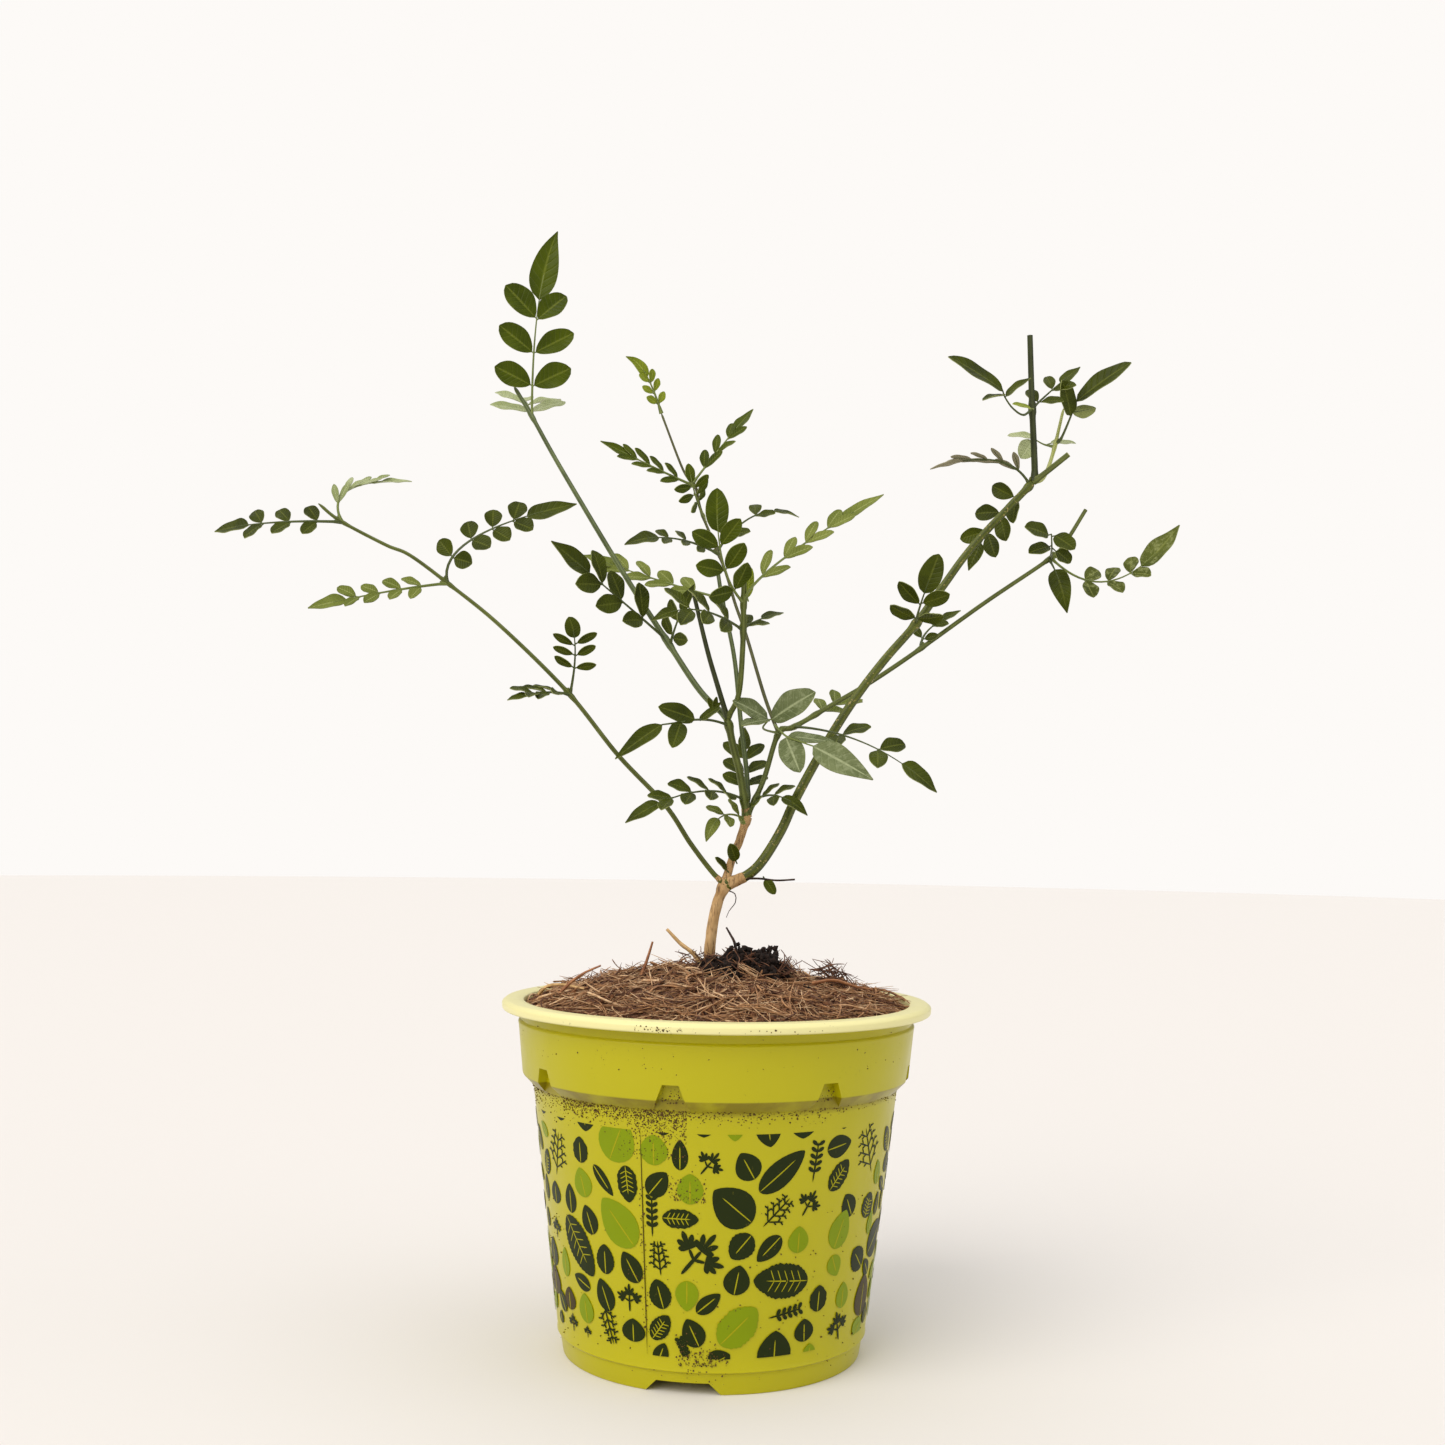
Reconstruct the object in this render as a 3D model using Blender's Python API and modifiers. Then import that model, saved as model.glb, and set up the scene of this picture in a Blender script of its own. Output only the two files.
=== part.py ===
"""Young jasmine in its nursery pot.

A thin plastic pot with a rolled lip, a grip band with eight notches and a slotted foot ring
holds potting soil under a dome of coir mulch. The plant is a woody trunk, twelve green stems
and forty-one compound leaves, each a separate solid a small gap from its neighbours.
All lengths below are millimetres. The origin is on the pot's axis, on the surface it stands on.
"""

from collections import namedtuple
from math import cos, pi, radians, sin

import bmesh
import bpy
from mathutils import Matrix, Vector

MM = 0.001
GAP = 0.3

# Pot
RIM_RADIUS = 70.0
POT_HEIGHT = 112.0
WALL = 1.2
LIP_HEIGHT = 3.5
LIP_OVERHANG = 5.6
NECK_HEIGHT = 3.7
NECK_DEPTH = 0.6
BAND_HEIGHT = 16.6
BAND_TAPER = 1.6
BAND_STEP = 3.6
WALL_TAPER = 9.5
FOOT_HEIGHT = 6.2
FOOT_STEP = 0.9
FOOT_TAPER = 1.0
FOOT_RING_WIDTH = 3.6
FLOOR_UNDERSIDE = 4.0
POT_STEPS = 48

# Grip notches in the band's lower edge, arches in the foot ring, drain holes in the floor
FIRST_NOTCH_ANGLE = radians(-12)
NOTCH_COUNT = 8
NOTCH_RISE = 8.4
NOTCH_TOP = 4.5
NOTCH_BOTTOM = 9.0
NOTCH_DEPTH = 3.2
POCKET_MARGIN = 1.5
FIRST_ARCH_ANGLE = radians(-10)
ARCH_COUNT = 3
ARCH_RISE = 3.6
ARCH_TOP = 16.0
ARCH_BOTTOM = 23.0
DRAIN_COUNT = 8
DRAIN_RADIUS = 4.0
DRAIN_CIRCLE = 30.0

# Soil, mulch and what lies on it
SOIL_BELOW_RIM = 14.0
MULCH_EDGE_BELOW_RIM = 1.0
MULCH_DOME = 11.0
PEAT_SIZE = (12.5, 10.0, 7.5)
PEAT_PLACE = (8.5, -6.5, -1.5)
TWIG_LENGTH = 15.0
TWIG_RADIUS = 0.7
TWIG_PLACE = (-6.0, -5.0)

# Plant
PLANT_SCALE = 1.0
TRUNK_RADIUS = 2.0
TRUNK_PLACE = (-2.5, 1.0)
RACHIS_WIDTH = 1.1
LEAF_THICKNESS = 0.5
POINT_SPACING = 7.0

# Heights worked out from the driving ones
LIP_UNDERSIDE = POT_HEIGHT - LIP_HEIGHT
BAND_TOP = LIP_UNDERSIDE - NECK_HEIGHT
BAND_BOTTOM = BAND_TOP - BAND_HEIGHT
WALL_TOP = BAND_BOTTOM - BAND_STEP
SOIL_TOP = POT_HEIGHT - SOIL_BELOW_RIM
MULCH_BOTTOM = SOIL_TOP + GAP
MULCH_EDGE = POT_HEIGHT - MULCH_EDGE_BELOW_RIM
MULCH_TOP = MULCH_EDGE + MULCH_DOME
FLOOR_TOP = FLOOR_UNDERSIDE + WALL

# Radii worked out from the driving ones
BAND_RADIUS = RIM_RADIUS - LIP_OVERHANG
BAND_LOW_RADIUS = BAND_RADIUS - BAND_TAPER
WALL_TOP_RADIUS = BAND_LOW_RADIUS - BAND_STEP
WALL_LOW_RADIUS = WALL_TOP_RADIUS - WALL_TAPER
FOOT_TOP_RADIUS = WALL_LOW_RADIUS - FOOT_STEP
FOOT_RADIUS = FOOT_TOP_RADIUS - FOOT_TAPER
POCKET_RADIUS = WALL_TOP_RADIUS - WALL

# A stem runs through its points, given from the mulch's top on the pot's axis.
Stem = namedtuple("Stem", "name points base_radius tip_radius")
STEMS = (
    Stem("trunk", (TRUNK_PLACE + (MULCH_BOTTOM + GAP - MULCH_TOP,), TRUNK_PLACE + (-2.5,),
                   (-2.5, 1, 5.5), (-1.5, 0, 15.5), (0, 0, 22), (2, 0, 27)), TRUNK_RADIUS, 1.7),
    Stem("trunk_top", ((2, 0, 27), (4.5, 1, 36), (7, 2, 42.5), (9, 3, 49.5)), 1.4, 1.3),
    Stem("right_branch", ((2, 0, 27), (9.5, 0, 30.5), (14.5, 1, 35.5), (20.5, 3, 45.5), (25, 5, 55.5),
                          (33.5, 7, 71.5), (43.5, 9, 88), (54.5, 11, 103), (65.5, 13, 116),
                          (75, 15, 129.5), (86, 17, 144.5), (106.5, 20, 167)), 1.7, 1.2),
    Stem("left_branch", ((2, 0, 27), (-2.5, -1, 31.5), (-9.5, -3, 40.5), (-18, -7, 53),
                         (-33.5, -12, 69), (-49.5, -18, 88.5), (-71, -24, 109), (-87, -28, 121.5),
                         (-99, -31, 130), (-106.5, -32, 133), (-120.5, -34, 140),
                         (-127, -36, 145)), 0.85, 0.5),
    Stem("right_upright", ((106.5, 20, 167), (107, 20, 171), (105.5, 18, 195), (104.5, 17, 217.5)),
         1.15, 0.95),
    Stem("right_stub", ((106.5, 20, 167), (110, 18, 169.5), (117.5, 14, 175.5)), 1.0, 0.95),
    Stem("right_pale_shoot", ((106.5, 20, 167), (110.5, 23, 169), (114.5, 27, 178),
                              (119.5, 33, 196)), 0.75, 0.5),
    Stem("centre_stem", ((9, 3, 49.5), (6.5, 1, 63.5), (4, -1, 73), (2, -2, 82)), 1.25, 1.2),
    Stem("thin_right_branch", ((9, 3, 49.5), (14.5, 9, 62), (19.5, 15, 78), (25, 16, 80.5),
                               (38, 21, 88.5), (52.5, 25, 97.5), (69.5, 30, 109.5), (93, 37, 127),
                               (117, 43, 144), (123, 45, 150.5), (130.5, 47, 162.5)), 0.9, 0.7),
    Stem("back_stem", ((9, 3, 49.5), (9, 8, 62), (6.5, 14, 82.5), (4, 20, 104.5),
                       (-0.5, 26, 125.5), (-2.5, 30, 137.5)), 0.85, 0.7),
    Stem("tall_left_branch", ((2, -2, 82), (-7.5, 3, 91.5), (-19.5, 12, 109.5), (-34.5, 20, 132.5),
                              (-58, 32, 171), (-69.5, 38, 191), (-76.5, 41, 202.5)), 1.05, 0.7),
    Stem("centre_upright", ((2, -2, 82), (5.5, -8, 89.5), (6.5, -16, 104), (6.5, -22, 118),
                            (6.5, -25, 126.5)), 0.9, 0.85),
    Stem("centre_left_stub", ((2, -2, 82), (-1.5, -8, 92.5), (-5, -14, 103.5), (-9.5, -20, 120.5)),
         0.9, 0.65),
    Stem("slender_shoot", ((19.5, 15, 78), (14.5, 13, 90.5), (8, 9, 110.5), (4, 6, 121), (0, 4, 133),
                           (-7.5, 0, 150), (-10, -2, 159), (-14, -4, 164), (-21.5, -8, 182)),
         0.65, 0.35),
)

# A leaf leaves its stem at a share of the stem's length. Its midpoint and tip are given from
# there, then the way its upper face looks, its pairs of side leaflets, and the length of a side
# leaflet and of the end leaflet. The last value is the lowest pair's place, as a share of the midrib.
Leaf = namedtuple("Leaf", "name stem share middle tip face pairs side end first", defaults=(0.25,))
LEAVES = (
    Leaf("leaf_front_left", "thin_right_branch", 0.185, (-7, -11, 7), (-14, -18, 11), (2, -9, 6), 1, 10, 12, 0.6),
    Leaf("leaf_fork_left", "centre_stem", 0.17, (-17, -17, 2), (-38, -25, -8), (0, -5, 9), 4, 8, 13),
    Leaf("leaf_fork_right", "thin_right_branch", 0.04, (8, -8, 1), (17, -12, -5), (0, -4, 9), 2, 8, 11),
    Leaf("leaf_fork_curl", "trunk_top", 0.96, (-8, -9, 1), (-13, -13, -7), (0, -7, 6), 2, 6, 9),
    Leaf("leaf_left_low_upper", "left_branch", 0.45, (2, -7, 14), (0, -10, 24), (0, -9, 3), 3, 7, 7, 0.5),
    Leaf("leaf_left_low_lower", "left_branch", 0.45, (-8, -8, 0), (-18, -16, -3), (0, -5, 9), 3, 7, 8),
    Leaf("leaf_left_mid_upper", "left_branch", 0.74, (8, -2, 14), (39, 6, 27), (-2, -5, 9), 4, 8.5, 16),
    Leaf("leaf_left_mid_lower", "left_branch", 0.74, (-19, -6, -4), (-41, -12, -10), (0, -4, 9), 4, 7, 12),
    Leaf("leaf_left_tip", "left_branch", 0.95, (-22, -2, -1), (-41, 4, -3), (0, -5, 9), 4, 9, 13),
    Leaf("leaf_left_tip_arch", "left_branch", 0.95, (1, 4, 11), (19, 14, 16), (0, 4, 10), 2, 5, 10),
    Leaf("leaf_centre_left", "centre_stem", 0.93, (-16, -12, -1), (-36, -22, -12), (1, -6, 8), 2, 10, 16),
    Leaf("leaf_centre_behind", "back_stem", 0.08, (-1, 12, 11), (-1, 20, 24), (0, -10, 0), 3, 8, 9),
    Leaf("leaf_centre_back", "back_stem", 0.86, (-22, 8, 7), (-50, 16, 17), (0, 2, 10), 3, 8, 13),
    Leaf("leaf_centre_low_left", "centre_upright", 0.64, (-14, -11, 5), (-27, -16, 2), (0, -4, 9), 3, 8, 7),
    Leaf("leaf_centre_low_right", "centre_upright", 0.66, (7, 5, 4), (12, 9, 6), (0, -5, 9), 1, 6, 8),
    Leaf("leaf_centre_face", "centre_upright", 0.82, (-7, -11, 12), (-9, -15, 34), (0, -10, 2), 3, 11, 13.5),
    Leaf("leaf_right_long", "centre_upright", 0.82, (11, -2, 13), (44, 10, 37), (-2, -5, 9), 4, 9, 17),
    Leaf("leaf_upper_left", "tall_left_branch", 0.25, (-14, -10, 11), (-37, -24, 29), (3, -9, 5), 3, 10.5, 17, 0.3),
    Leaf("leaf_upper_left_twin", "tall_left_branch", 0.23, (3, -5, 9), (8, -7, 20), (-5, -8, 3), 2, 7, 10),
    Leaf("leaf_top_left_upright", "tall_left_branch", 0.91, (1, 4, 42), (7, 7, 70), (1, -10, 1), 3, 16, 27),
    Leaf("leaf_top_left_back", "tall_left_branch", 0.91, (-4, 16, 9), (-8, 30, 14), (1, -3, 10), 3, 14, 12),
    Leaf("leaf_spray_low_left", "slender_shoot", 0.56, (-16, -7, 4), (-31, -11, 1), (0, -3, 9), 2, 6, 12),
    Leaf("leaf_spray_low_right", "slender_shoot", 0.57, (13, 9, 14), (28, 17, 15), (1, -5, 9), 3, 8, 10),
    Leaf("leaf_spray_stack", "slender_shoot", 0.68, (-3, -9, 7), (-5, -11, 16), (0, -10, 2), 3, 7, 7),
    Leaf("leaf_spray_left", "slender_shoot", 0.77, (-11, -4, 4), (-30, -10, 12), (2, -5, 9), 4, 6, 10),
    Leaf("leaf_spray_right", "slender_shoot", 0.78, (10, 7, 15), (19, 15, 28), (-4, -7, 6), 3, 7, 11),
    Leaf("leaf_spray_tip", "slender_shoot", 1.0, (-5, -2, 12), (-10, -4, 17), (2, -9, 3), 3, 6, 8),
    Leaf("leaf_front_big", "thin_right_branch", 0.19, (9, -27, -3), (28, -38, -17), (-4, -9, 3), 2, 15, 20),
    Leaf("leaf_front_right", "thin_right_branch", 0.22, (23, -28, -7), (45, -30, -22), (1, -7, 7), 2, 9, 15, 0.5),
    Leaf("leaf_right_low_pale", "thin_right_branch", 0.27, (9, 12, 5), (18, 21, 7), (0, 1, 10), 2, 7, 10),
    Leaf("leaf_right_mid_small", "thin_right_branch", 0.53, (3, 2, 7), (14, 4, 14), (0, -5, 8), 2, 5, 8),
    Leaf("leaf_right_mid_face", "right_branch", 0.63, (1, -9, 7), (6, -13, 22), (0, -9, 3), 2, 9.5, 14),
    Leaf("leaf_right_far_inner", "thin_right_branch", 0.87, (-3, -3, 7), (-5, -7, 13), (0, -8, 6), 2, 8, 8),
    Leaf("leaf_right_far_outer", "thin_right_branch", 0.87, (22, -2, -8), (45, -4, 12), (-4, -6, 6), 3, 6.5, 20, 0.4),
    Leaf("leaf_right_far_down", "thin_right_branch", 0.865, (2, -7, -8), (4, -9, -17), (-2, -9, 0), 0, 0, 14),
    Leaf("leaf_right_face", "right_branch", 0.99, (-10, 8, -10), (-19, 9, -27), (-3, -9, 3), 3, 8, 9),
    Leaf("leaf_right_grey", "right_branch", 0.99, (-13, -7, 7), (-35, -12, 3), (0, 3, 10), 4, 6, 11),
    Leaf("leaf_top_right_arch", "right_upright", 0.5, (-9, -8, 4), (-31, -14, 13), (2, -9, 5), 2, 8, 18, 0.5),
    Leaf("leaf_top_right_inner", "right_upright", 0.5, (8, 4, 8), (18, 8, 17), (-2, -7, 7), 2, 7, 10),
    Leaf("leaf_top_right_outer", "right_pale_shoot", 0.59, (4, -7, 12), (25, -5, 28), (-3, -8, 6), 1, 10, 18, 0.8),
    Leaf("leaf_top_right_pale", "right_pale_shoot", 0.55, (0, 14, 5), (2, 30, 10), (0, 0, 10), 2, 11, 9),
)


def clear_scene():
    for old in list(bpy.data.objects):
        bpy.data.objects.remove(old, do_unlink=True)


def new_collection(name, hidden=False):
    made = bpy.data.collections.new(name)
    made.hide_render = hidden
    bpy.context.scene.collection.children.link(made)
    return made


def new_material(name, colour, roughness):
    made = bpy.data.materials.new(name)
    made.use_nodes = True
    shader = made.node_tree.nodes["Principled BSDF"]
    shader.inputs["Base Color"].default_value = (*colour, 1)
    shader.inputs["Roughness"].default_value = roughness
    made.diffuse_color = (*colour, 1)
    return made


def add_object(name, data, collection, material=None):
    made = bpy.data.objects.new(name, data)
    collection.objects.link(made)
    if material:
        data.materials.append(material)
    if collection.hide_render:
        made.hide_render = True
        made.display_type = "WIRE"
    return made


def cut(target, cutter, operation="DIFFERENCE"):
    boolean = target.modifiers.new(cutter.name, "BOOLEAN")
    boolean.operation = operation
    boolean.object = cutter


# Turned shapes


def turned(name, profile, collection, material=None, steps=POT_STEPS):
    """A profile of (radius, height) points, down its outer side, turned about the pot's axis."""
    shape = bmesh.new()
    points = [shape.verts.new((r * MM, 0, z * MM)) for r, z in profile]
    for above, below in zip(points, points[1:]):
        shape.edges.new((above, below))
    mesh = bpy.data.meshes.new(name)
    shape.to_mesh(mesh)
    shape.free()
    made = add_object(name, mesh, collection, material)
    screw = made.modifiers.new("turn", "SCREW")
    screw.steps = screw.render_steps = steps
    screw.use_merge_vertices = True
    screw.merge_threshold = 0.00005
    return made


def inner_radius(height):
    """The pot's inside radius at a height, a wall inside its outer outline."""
    outline = (
        (FLOOR_TOP, WALL_LOW_RADIUS),
        (FOOT_HEIGHT, WALL_LOW_RADIUS),
        (WALL_TOP, WALL_TOP_RADIUS),
        (BAND_BOTTOM, BAND_LOW_RADIUS),
        (BAND_TOP, BAND_RADIUS),
        (BAND_TOP + NECK_DEPTH, BAND_RADIUS - NECK_DEPTH),
        (POT_HEIGHT, BAND_RADIUS - NECK_DEPTH),
    )
    for (low, low_radius), (high, high_radius) in zip(outline, outline[1:]):
        if height <= high:
            share = (height - low) / (high - low)
            return low_radius + share * (high_radius - low_radius) - WALL
    return outline[-1][1] - WALL


def pot_profile():
    neck = BAND_RADIUS - NECK_DEPTH
    inside = [(0, FLOOR_TOP)]
    for height in (FLOOR_TOP, FOOT_HEIGHT, WALL_TOP, BAND_BOTTOM, BAND_TOP, BAND_TOP + NECK_DEPTH):
        inside.append((inner_radius(height), height))
    lip = [
        (neck - WALL, LIP_UNDERSIDE),
        (neck, POT_HEIGHT - 0.8),
        (neck + 1.0, POT_HEIGHT),
        (RIM_RADIUS - 1.2, POT_HEIGHT),
        (RIM_RADIUS - 0.3, POT_HEIGHT - 0.5),
        (RIM_RADIUS, POT_HEIGHT - 1.3),
        (RIM_RADIUS - 0.2, LIP_UNDERSIDE + 0.6),
        (RIM_RADIUS - 1.0, LIP_UNDERSIDE),
        (neck, LIP_UNDERSIDE),
    ]
    outside = [
        (neck, BAND_TOP + NECK_DEPTH),
        (BAND_RADIUS, BAND_TOP),
        (BAND_LOW_RADIUS, BAND_BOTTOM),
        (WALL_TOP_RADIUS, WALL_TOP),
        (WALL_LOW_RADIUS, FOOT_HEIGHT + 0.4),
        (FOOT_TOP_RADIUS, FOOT_HEIGHT),
        (FOOT_RADIUS, 0),
        (FOOT_RADIUS - FOOT_RING_WIDTH, 0),
        (FOOT_RADIUS - FOOT_RING_WIDTH, FLOOR_UNDERSIDE),
        (0, FLOOR_UNDERSIDE),
    ]
    return inside + lip + outside


def ring_of_prisms(name, outline, reach, count, first_angle, collection):
    """Prisms round the pot: an outline across the wall, of (sideways, up) points, pulled outwards
    over reach, from one radius to another."""
    shape = bmesh.new()
    near, far = reach
    for number in range(count):
        angle = first_angle + number * 2 * pi / count
        corners = [shape.verts.new((side * MM, -near * MM, up * MM)) for side, up in outline]
        face = shape.faces.new(corners)
        pulled = bmesh.ops.extrude_face_region(shape, geom=[face])["geom"]
        moved = [v for v in pulled if isinstance(v, bmesh.types.BMVert)]
        bmesh.ops.translate(shape, verts=moved, vec=(0, (near - far) * MM, 0))
        bmesh.ops.rotate(shape, verts=corners + moved, matrix=Matrix.Rotation(angle, 3, "Z"))
    bmesh.ops.recalc_face_normals(shape, faces=shape.faces)
    mesh = bpy.data.meshes.new(name)
    shape.to_mesh(mesh)
    shape.free()
    return add_object(name, mesh, collection)


def notch_pockets(collection):
    """The blocks inside the band that close the notches from behind. Their underside follows the
    step below the band, half a wall inside it."""
    shape = bmesh.new()
    half = NOTCH_BOTTOM / 2 + POCKET_MARGIN
    top = WALL_TOP + NOTCH_RISE + POCKET_MARGIN
    section = (
        (POCKET_RADIUS, WALL_TOP),
        (POCKET_RADIUS, top),
        (inner_radius(top) + WALL / 2, top),
        (BAND_LOW_RADIUS - WALL / 2, BAND_BOTTOM),
        (WALL_TOP_RADIUS - WALL / 2, WALL_TOP),
    )
    for number in range(NOTCH_COUNT):
        angle = FIRST_NOTCH_ANGLE + number * 2 * pi / NOTCH_COUNT
        corners = [shape.verts.new((-half * MM, -r * MM, z * MM)) for r, z in section]
        face = shape.faces.new(corners)
        pulled = bmesh.ops.extrude_face_region(shape, geom=[face])["geom"]
        moved = [v for v in pulled if isinstance(v, bmesh.types.BMVert)]
        bmesh.ops.translate(shape, verts=moved, vec=(2 * half * MM, 0, 0))
        bmesh.ops.rotate(shape, verts=corners + moved, matrix=Matrix.Rotation(angle, 3, "Z"))
    bmesh.ops.recalc_face_normals(shape, faces=shape.faces)
    mesh = bpy.data.meshes.new("notch_pockets")
    shape.to_mesh(mesh)
    shape.free()
    return add_object("notch_pockets", mesh, collection)


def trapezoid(low, high, low_width, high_width):
    return (
        (-low_width / 2, low),
        (low_width / 2, low),
        (high_width / 2, high),
        (-high_width / 2, high),
    )


def drain_cutter(collection):
    shape = bmesh.new()
    for number in range(DRAIN_COUNT):
        angle = FIRST_NOTCH_ANGLE + (number + 0.5) * 2 * pi / DRAIN_COUNT
        place = Matrix.Translation(
            Vector((DRAIN_CIRCLE * sin(angle), -DRAIN_CIRCLE * cos(angle), FLOOR_TOP)) * MM
        )
        bmesh.ops.create_cone(shape, cap_ends=True, segments=12, radius1=DRAIN_RADIUS * MM,
                              radius2=DRAIN_RADIUS * MM, depth=4 * WALL * MM, matrix=place)
    mesh = bpy.data.meshes.new("drain_cutter")
    shape.to_mesh(mesh)
    shape.free()
    return add_object("drain_cutter", mesh, collection)


def make_pot(parts, cutters, plastic):
    pot = turned("pot", pot_profile(), parts, plastic)
    cut(pot, notch_pockets(cutters), "UNION")
    notch = trapezoid(WALL_TOP - 0.6, WALL_TOP + NOTCH_RISE, NOTCH_BOTTOM, NOTCH_TOP)
    reach = (BAND_LOW_RADIUS - NOTCH_DEPTH, RIM_RADIUS)
    cut(pot, ring_of_prisms("notch_cutter", notch, reach, NOTCH_COUNT, FIRST_NOTCH_ANGLE, cutters))
    arch = trapezoid(-ARCH_RISE, ARCH_RISE, 2 * ARCH_BOTTOM - ARCH_TOP, ARCH_TOP)
    reach = (FOOT_RADIUS - 2 * FOOT_RING_WIDTH, RIM_RADIUS)
    cut(pot, ring_of_prisms("arch_cutter", arch, reach, ARCH_COUNT, FIRST_ARCH_ANGLE, cutters))
    cut(pot, drain_cutter(cutters))


# Soil and what lies on it


def soil_radius(height):
    return min(inner_radius(height), POCKET_RADIUS) - GAP


def mulch_height(radius):
    """The mulch's surface: a dome that flattens towards its top."""
    edge = inner_radius(MULCH_EDGE) - GAP
    return MULCH_EDGE + MULCH_DOME * (1 - (radius / edge) ** 2)


def mulch_profile(raised=0.0):
    edge = inner_radius(MULCH_EDGE) - GAP + raised
    rings = [edge * share for share in (0, 0.2, 0.4, 0.6, 0.8, 1)]
    surface = [(r, mulch_height(min(r, edge - raised)) + raised) for r in rings]
    return surface + [(inner_radius(MULCH_BOTTOM) - GAP + raised, MULCH_BOTTOM), (0, MULCH_BOTTOM)]


def make_soil(parts, soil):
    heights = (SOIL_TOP, WALL_TOP, FOOT_HEIGHT, FLOOR_TOP + GAP)
    side = [(soil_radius(height), height) for height in heights]
    turned("potting_soil", [(0, SOIL_TOP)] + side + [(0, FLOOR_TOP + GAP)], parts, soil)


def trunk_cutter(name, radius, collection):
    bpy.ops.mesh.primitive_cylinder_add(
        vertices=16, radius=radius * MM, depth=4 * MULCH_DOME * MM,
        location=Vector((TRUNK_PLACE[0], TRUNK_PLACE[1], MULCH_EDGE)) * MM)
    made = bpy.context.object
    made.name = name
    made.hide_render = True
    made.display_type = "WIRE"
    bpy.context.collection.objects.unlink(made)
    collection.objects.link(made)
    return made


def make_mulch(parts, cutters, coir):
    mulch = turned("coir_mulch", mulch_profile(), parts, coir)
    cut(mulch, trunk_cutter("trunk_hole", TRUNK_RADIUS + GAP, cutters))


def make_peat(parts, cutters, peat):
    """A dark crumbly clump on the mulch beside the trunk."""
    shape = bmesh.new()
    bmesh.ops.create_icosphere(shape, subdivisions=2, radius=MM)
    place = Vector((PEAT_PLACE[0], PEAT_PLACE[1], MULCH_TOP + PEAT_PLACE[2]))
    for vert in shape.verts:
        x, y, z = vert.co / MM
        lump = 1 + 0.12 * sin(5.1 * x + 1.3) * cos(4.3 * y) + 0.08 * sin(7.7 * z + 3 * y)
        vert.co = (place + Vector((x * PEAT_SIZE[0], y * PEAT_SIZE[1], z * PEAT_SIZE[2])) * lump) * MM
    mesh = bpy.data.meshes.new("peat_clump")
    shape.to_mesh(mesh)
    shape.free()
    clump = add_object("peat_clump", mesh, parts, peat)
    cut(clump, turned("mulch_cutter", mulch_profile(GAP), cutters))
    cut(clump, trunk_cutter("trunk_clearance", TRUNK_RADIUS + 2 * GAP, cutters))


def make_twig(parts, bark):
    x, y = TWIG_PLACE
    foot = Vector((x, y, mulch_height(Vector((x, y)).length) + TWIG_RADIUS + 2 * GAP))
    along = Vector((-11.3, 0, 10.7)).normalized()
    points = [foot + along * TWIG_LENGTH * share for share in (0, 0.5, 1)]
    tube("dry_twig", points, [TWIG_RADIUS, TWIG_RADIUS, 0.8 * TWIG_RADIUS], parts, bark, 1)


# Stems


def smooth_path(points, spacing):
    """Points about this far apart on a smooth curve through the given ones."""
    given = [2 * points[0] - points[1]] + points + [2 * points[-1] - points[-2]]
    path = [points[0]]
    for before, start, end, after in zip(given, given[1:], given[2:], given[3:]):
        pieces = max(1, round((end - start).length / spacing))
        for number in range(1, pieces + 1):
            t = number / pieces
            path.append(0.5 * (2 * start + (end - before) * t
                               + (2 * before - 5 * start + 4 * end - after) * t ** 2
                               + (3 * start - before - 3 * end + after) * t ** 3))
    return path


def lengths_along(path):
    total = [0.0]
    for start, end in zip(path, path[1:]):
        total.append(total[-1] + (end - start).length)
    return total


def point_at(path, length):
    """The point this far along a path."""
    total = lengths_along(path)
    for number in range(1, len(path)):
        if length <= total[number]:
            share = (length - total[number - 1]) / (total[number] - total[number - 1])
            return path[number - 1].lerp(path[number], share)
    return path[-1]


def distance_outside(point, path, radii):
    """How far a point is outside the tube with these radii."""
    nearest = 1000.0
    for (start, end), (near, far) in zip(zip(path, path[1:]), zip(radii, radii[1:])):
        run = end - start
        share = min(1.0, max(0.0, (point - start).dot(run) / run.length_squared))
        away = (point - start - run * share).length - (near + (far - near) * share)
        nearest = min(nearest, away)
    return nearest


def clear_start(path, radius, tubes):
    """How far along a path a piece of this radius can start, clear of the tubes it grows from."""
    search, step = 9 * PLANT_SCALE, 0.2 * PLANT_SCALE
    start = 0.0
    for number in range(int(search / step)):
        here = point_at(path, number * step)
        ahead = (point_at(path, (number + 1) * step) - here).normalized()
        side = ahead.orthogonal().normalized()
        other = ahead.cross(side)
        ring = [here + radius * (side * cos(a) + other * sin(a))
                for a in (0, pi / 4, pi / 2, 3 * pi / 4, pi, 5 * pi / 4, 3 * pi / 2, 7 * pi / 4)]
        if min(distance_outside(p, *tube_) for p in ring + [here] for tube_ in tubes) < GAP:
            start = (number + 1) * step
    return start


def path_from(path, start, spacing):
    length = lengths_along(path)[-1] - start
    pieces = max(1, round(length / spacing))
    return [point_at(path, start + length * number / pieces) for number in range(pieces + 1)]


def tube(name, points, radii, collection, material, resolution):
    curve = bpy.data.curves.new(name, "CURVE")
    curve.dimensions = "3D"
    curve.bevel_depth = MM
    curve.bevel_resolution = resolution
    curve.use_fill_caps = True
    spline = curve.splines.new("POLY")
    spline.points.add(len(points) - 1)
    for spot, place, radius in zip(spline.points, points, radii):
        spot.co = (*(place * MM), 1)
        spot.radius = radius
    return add_object(name, curve, collection, material)


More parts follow.
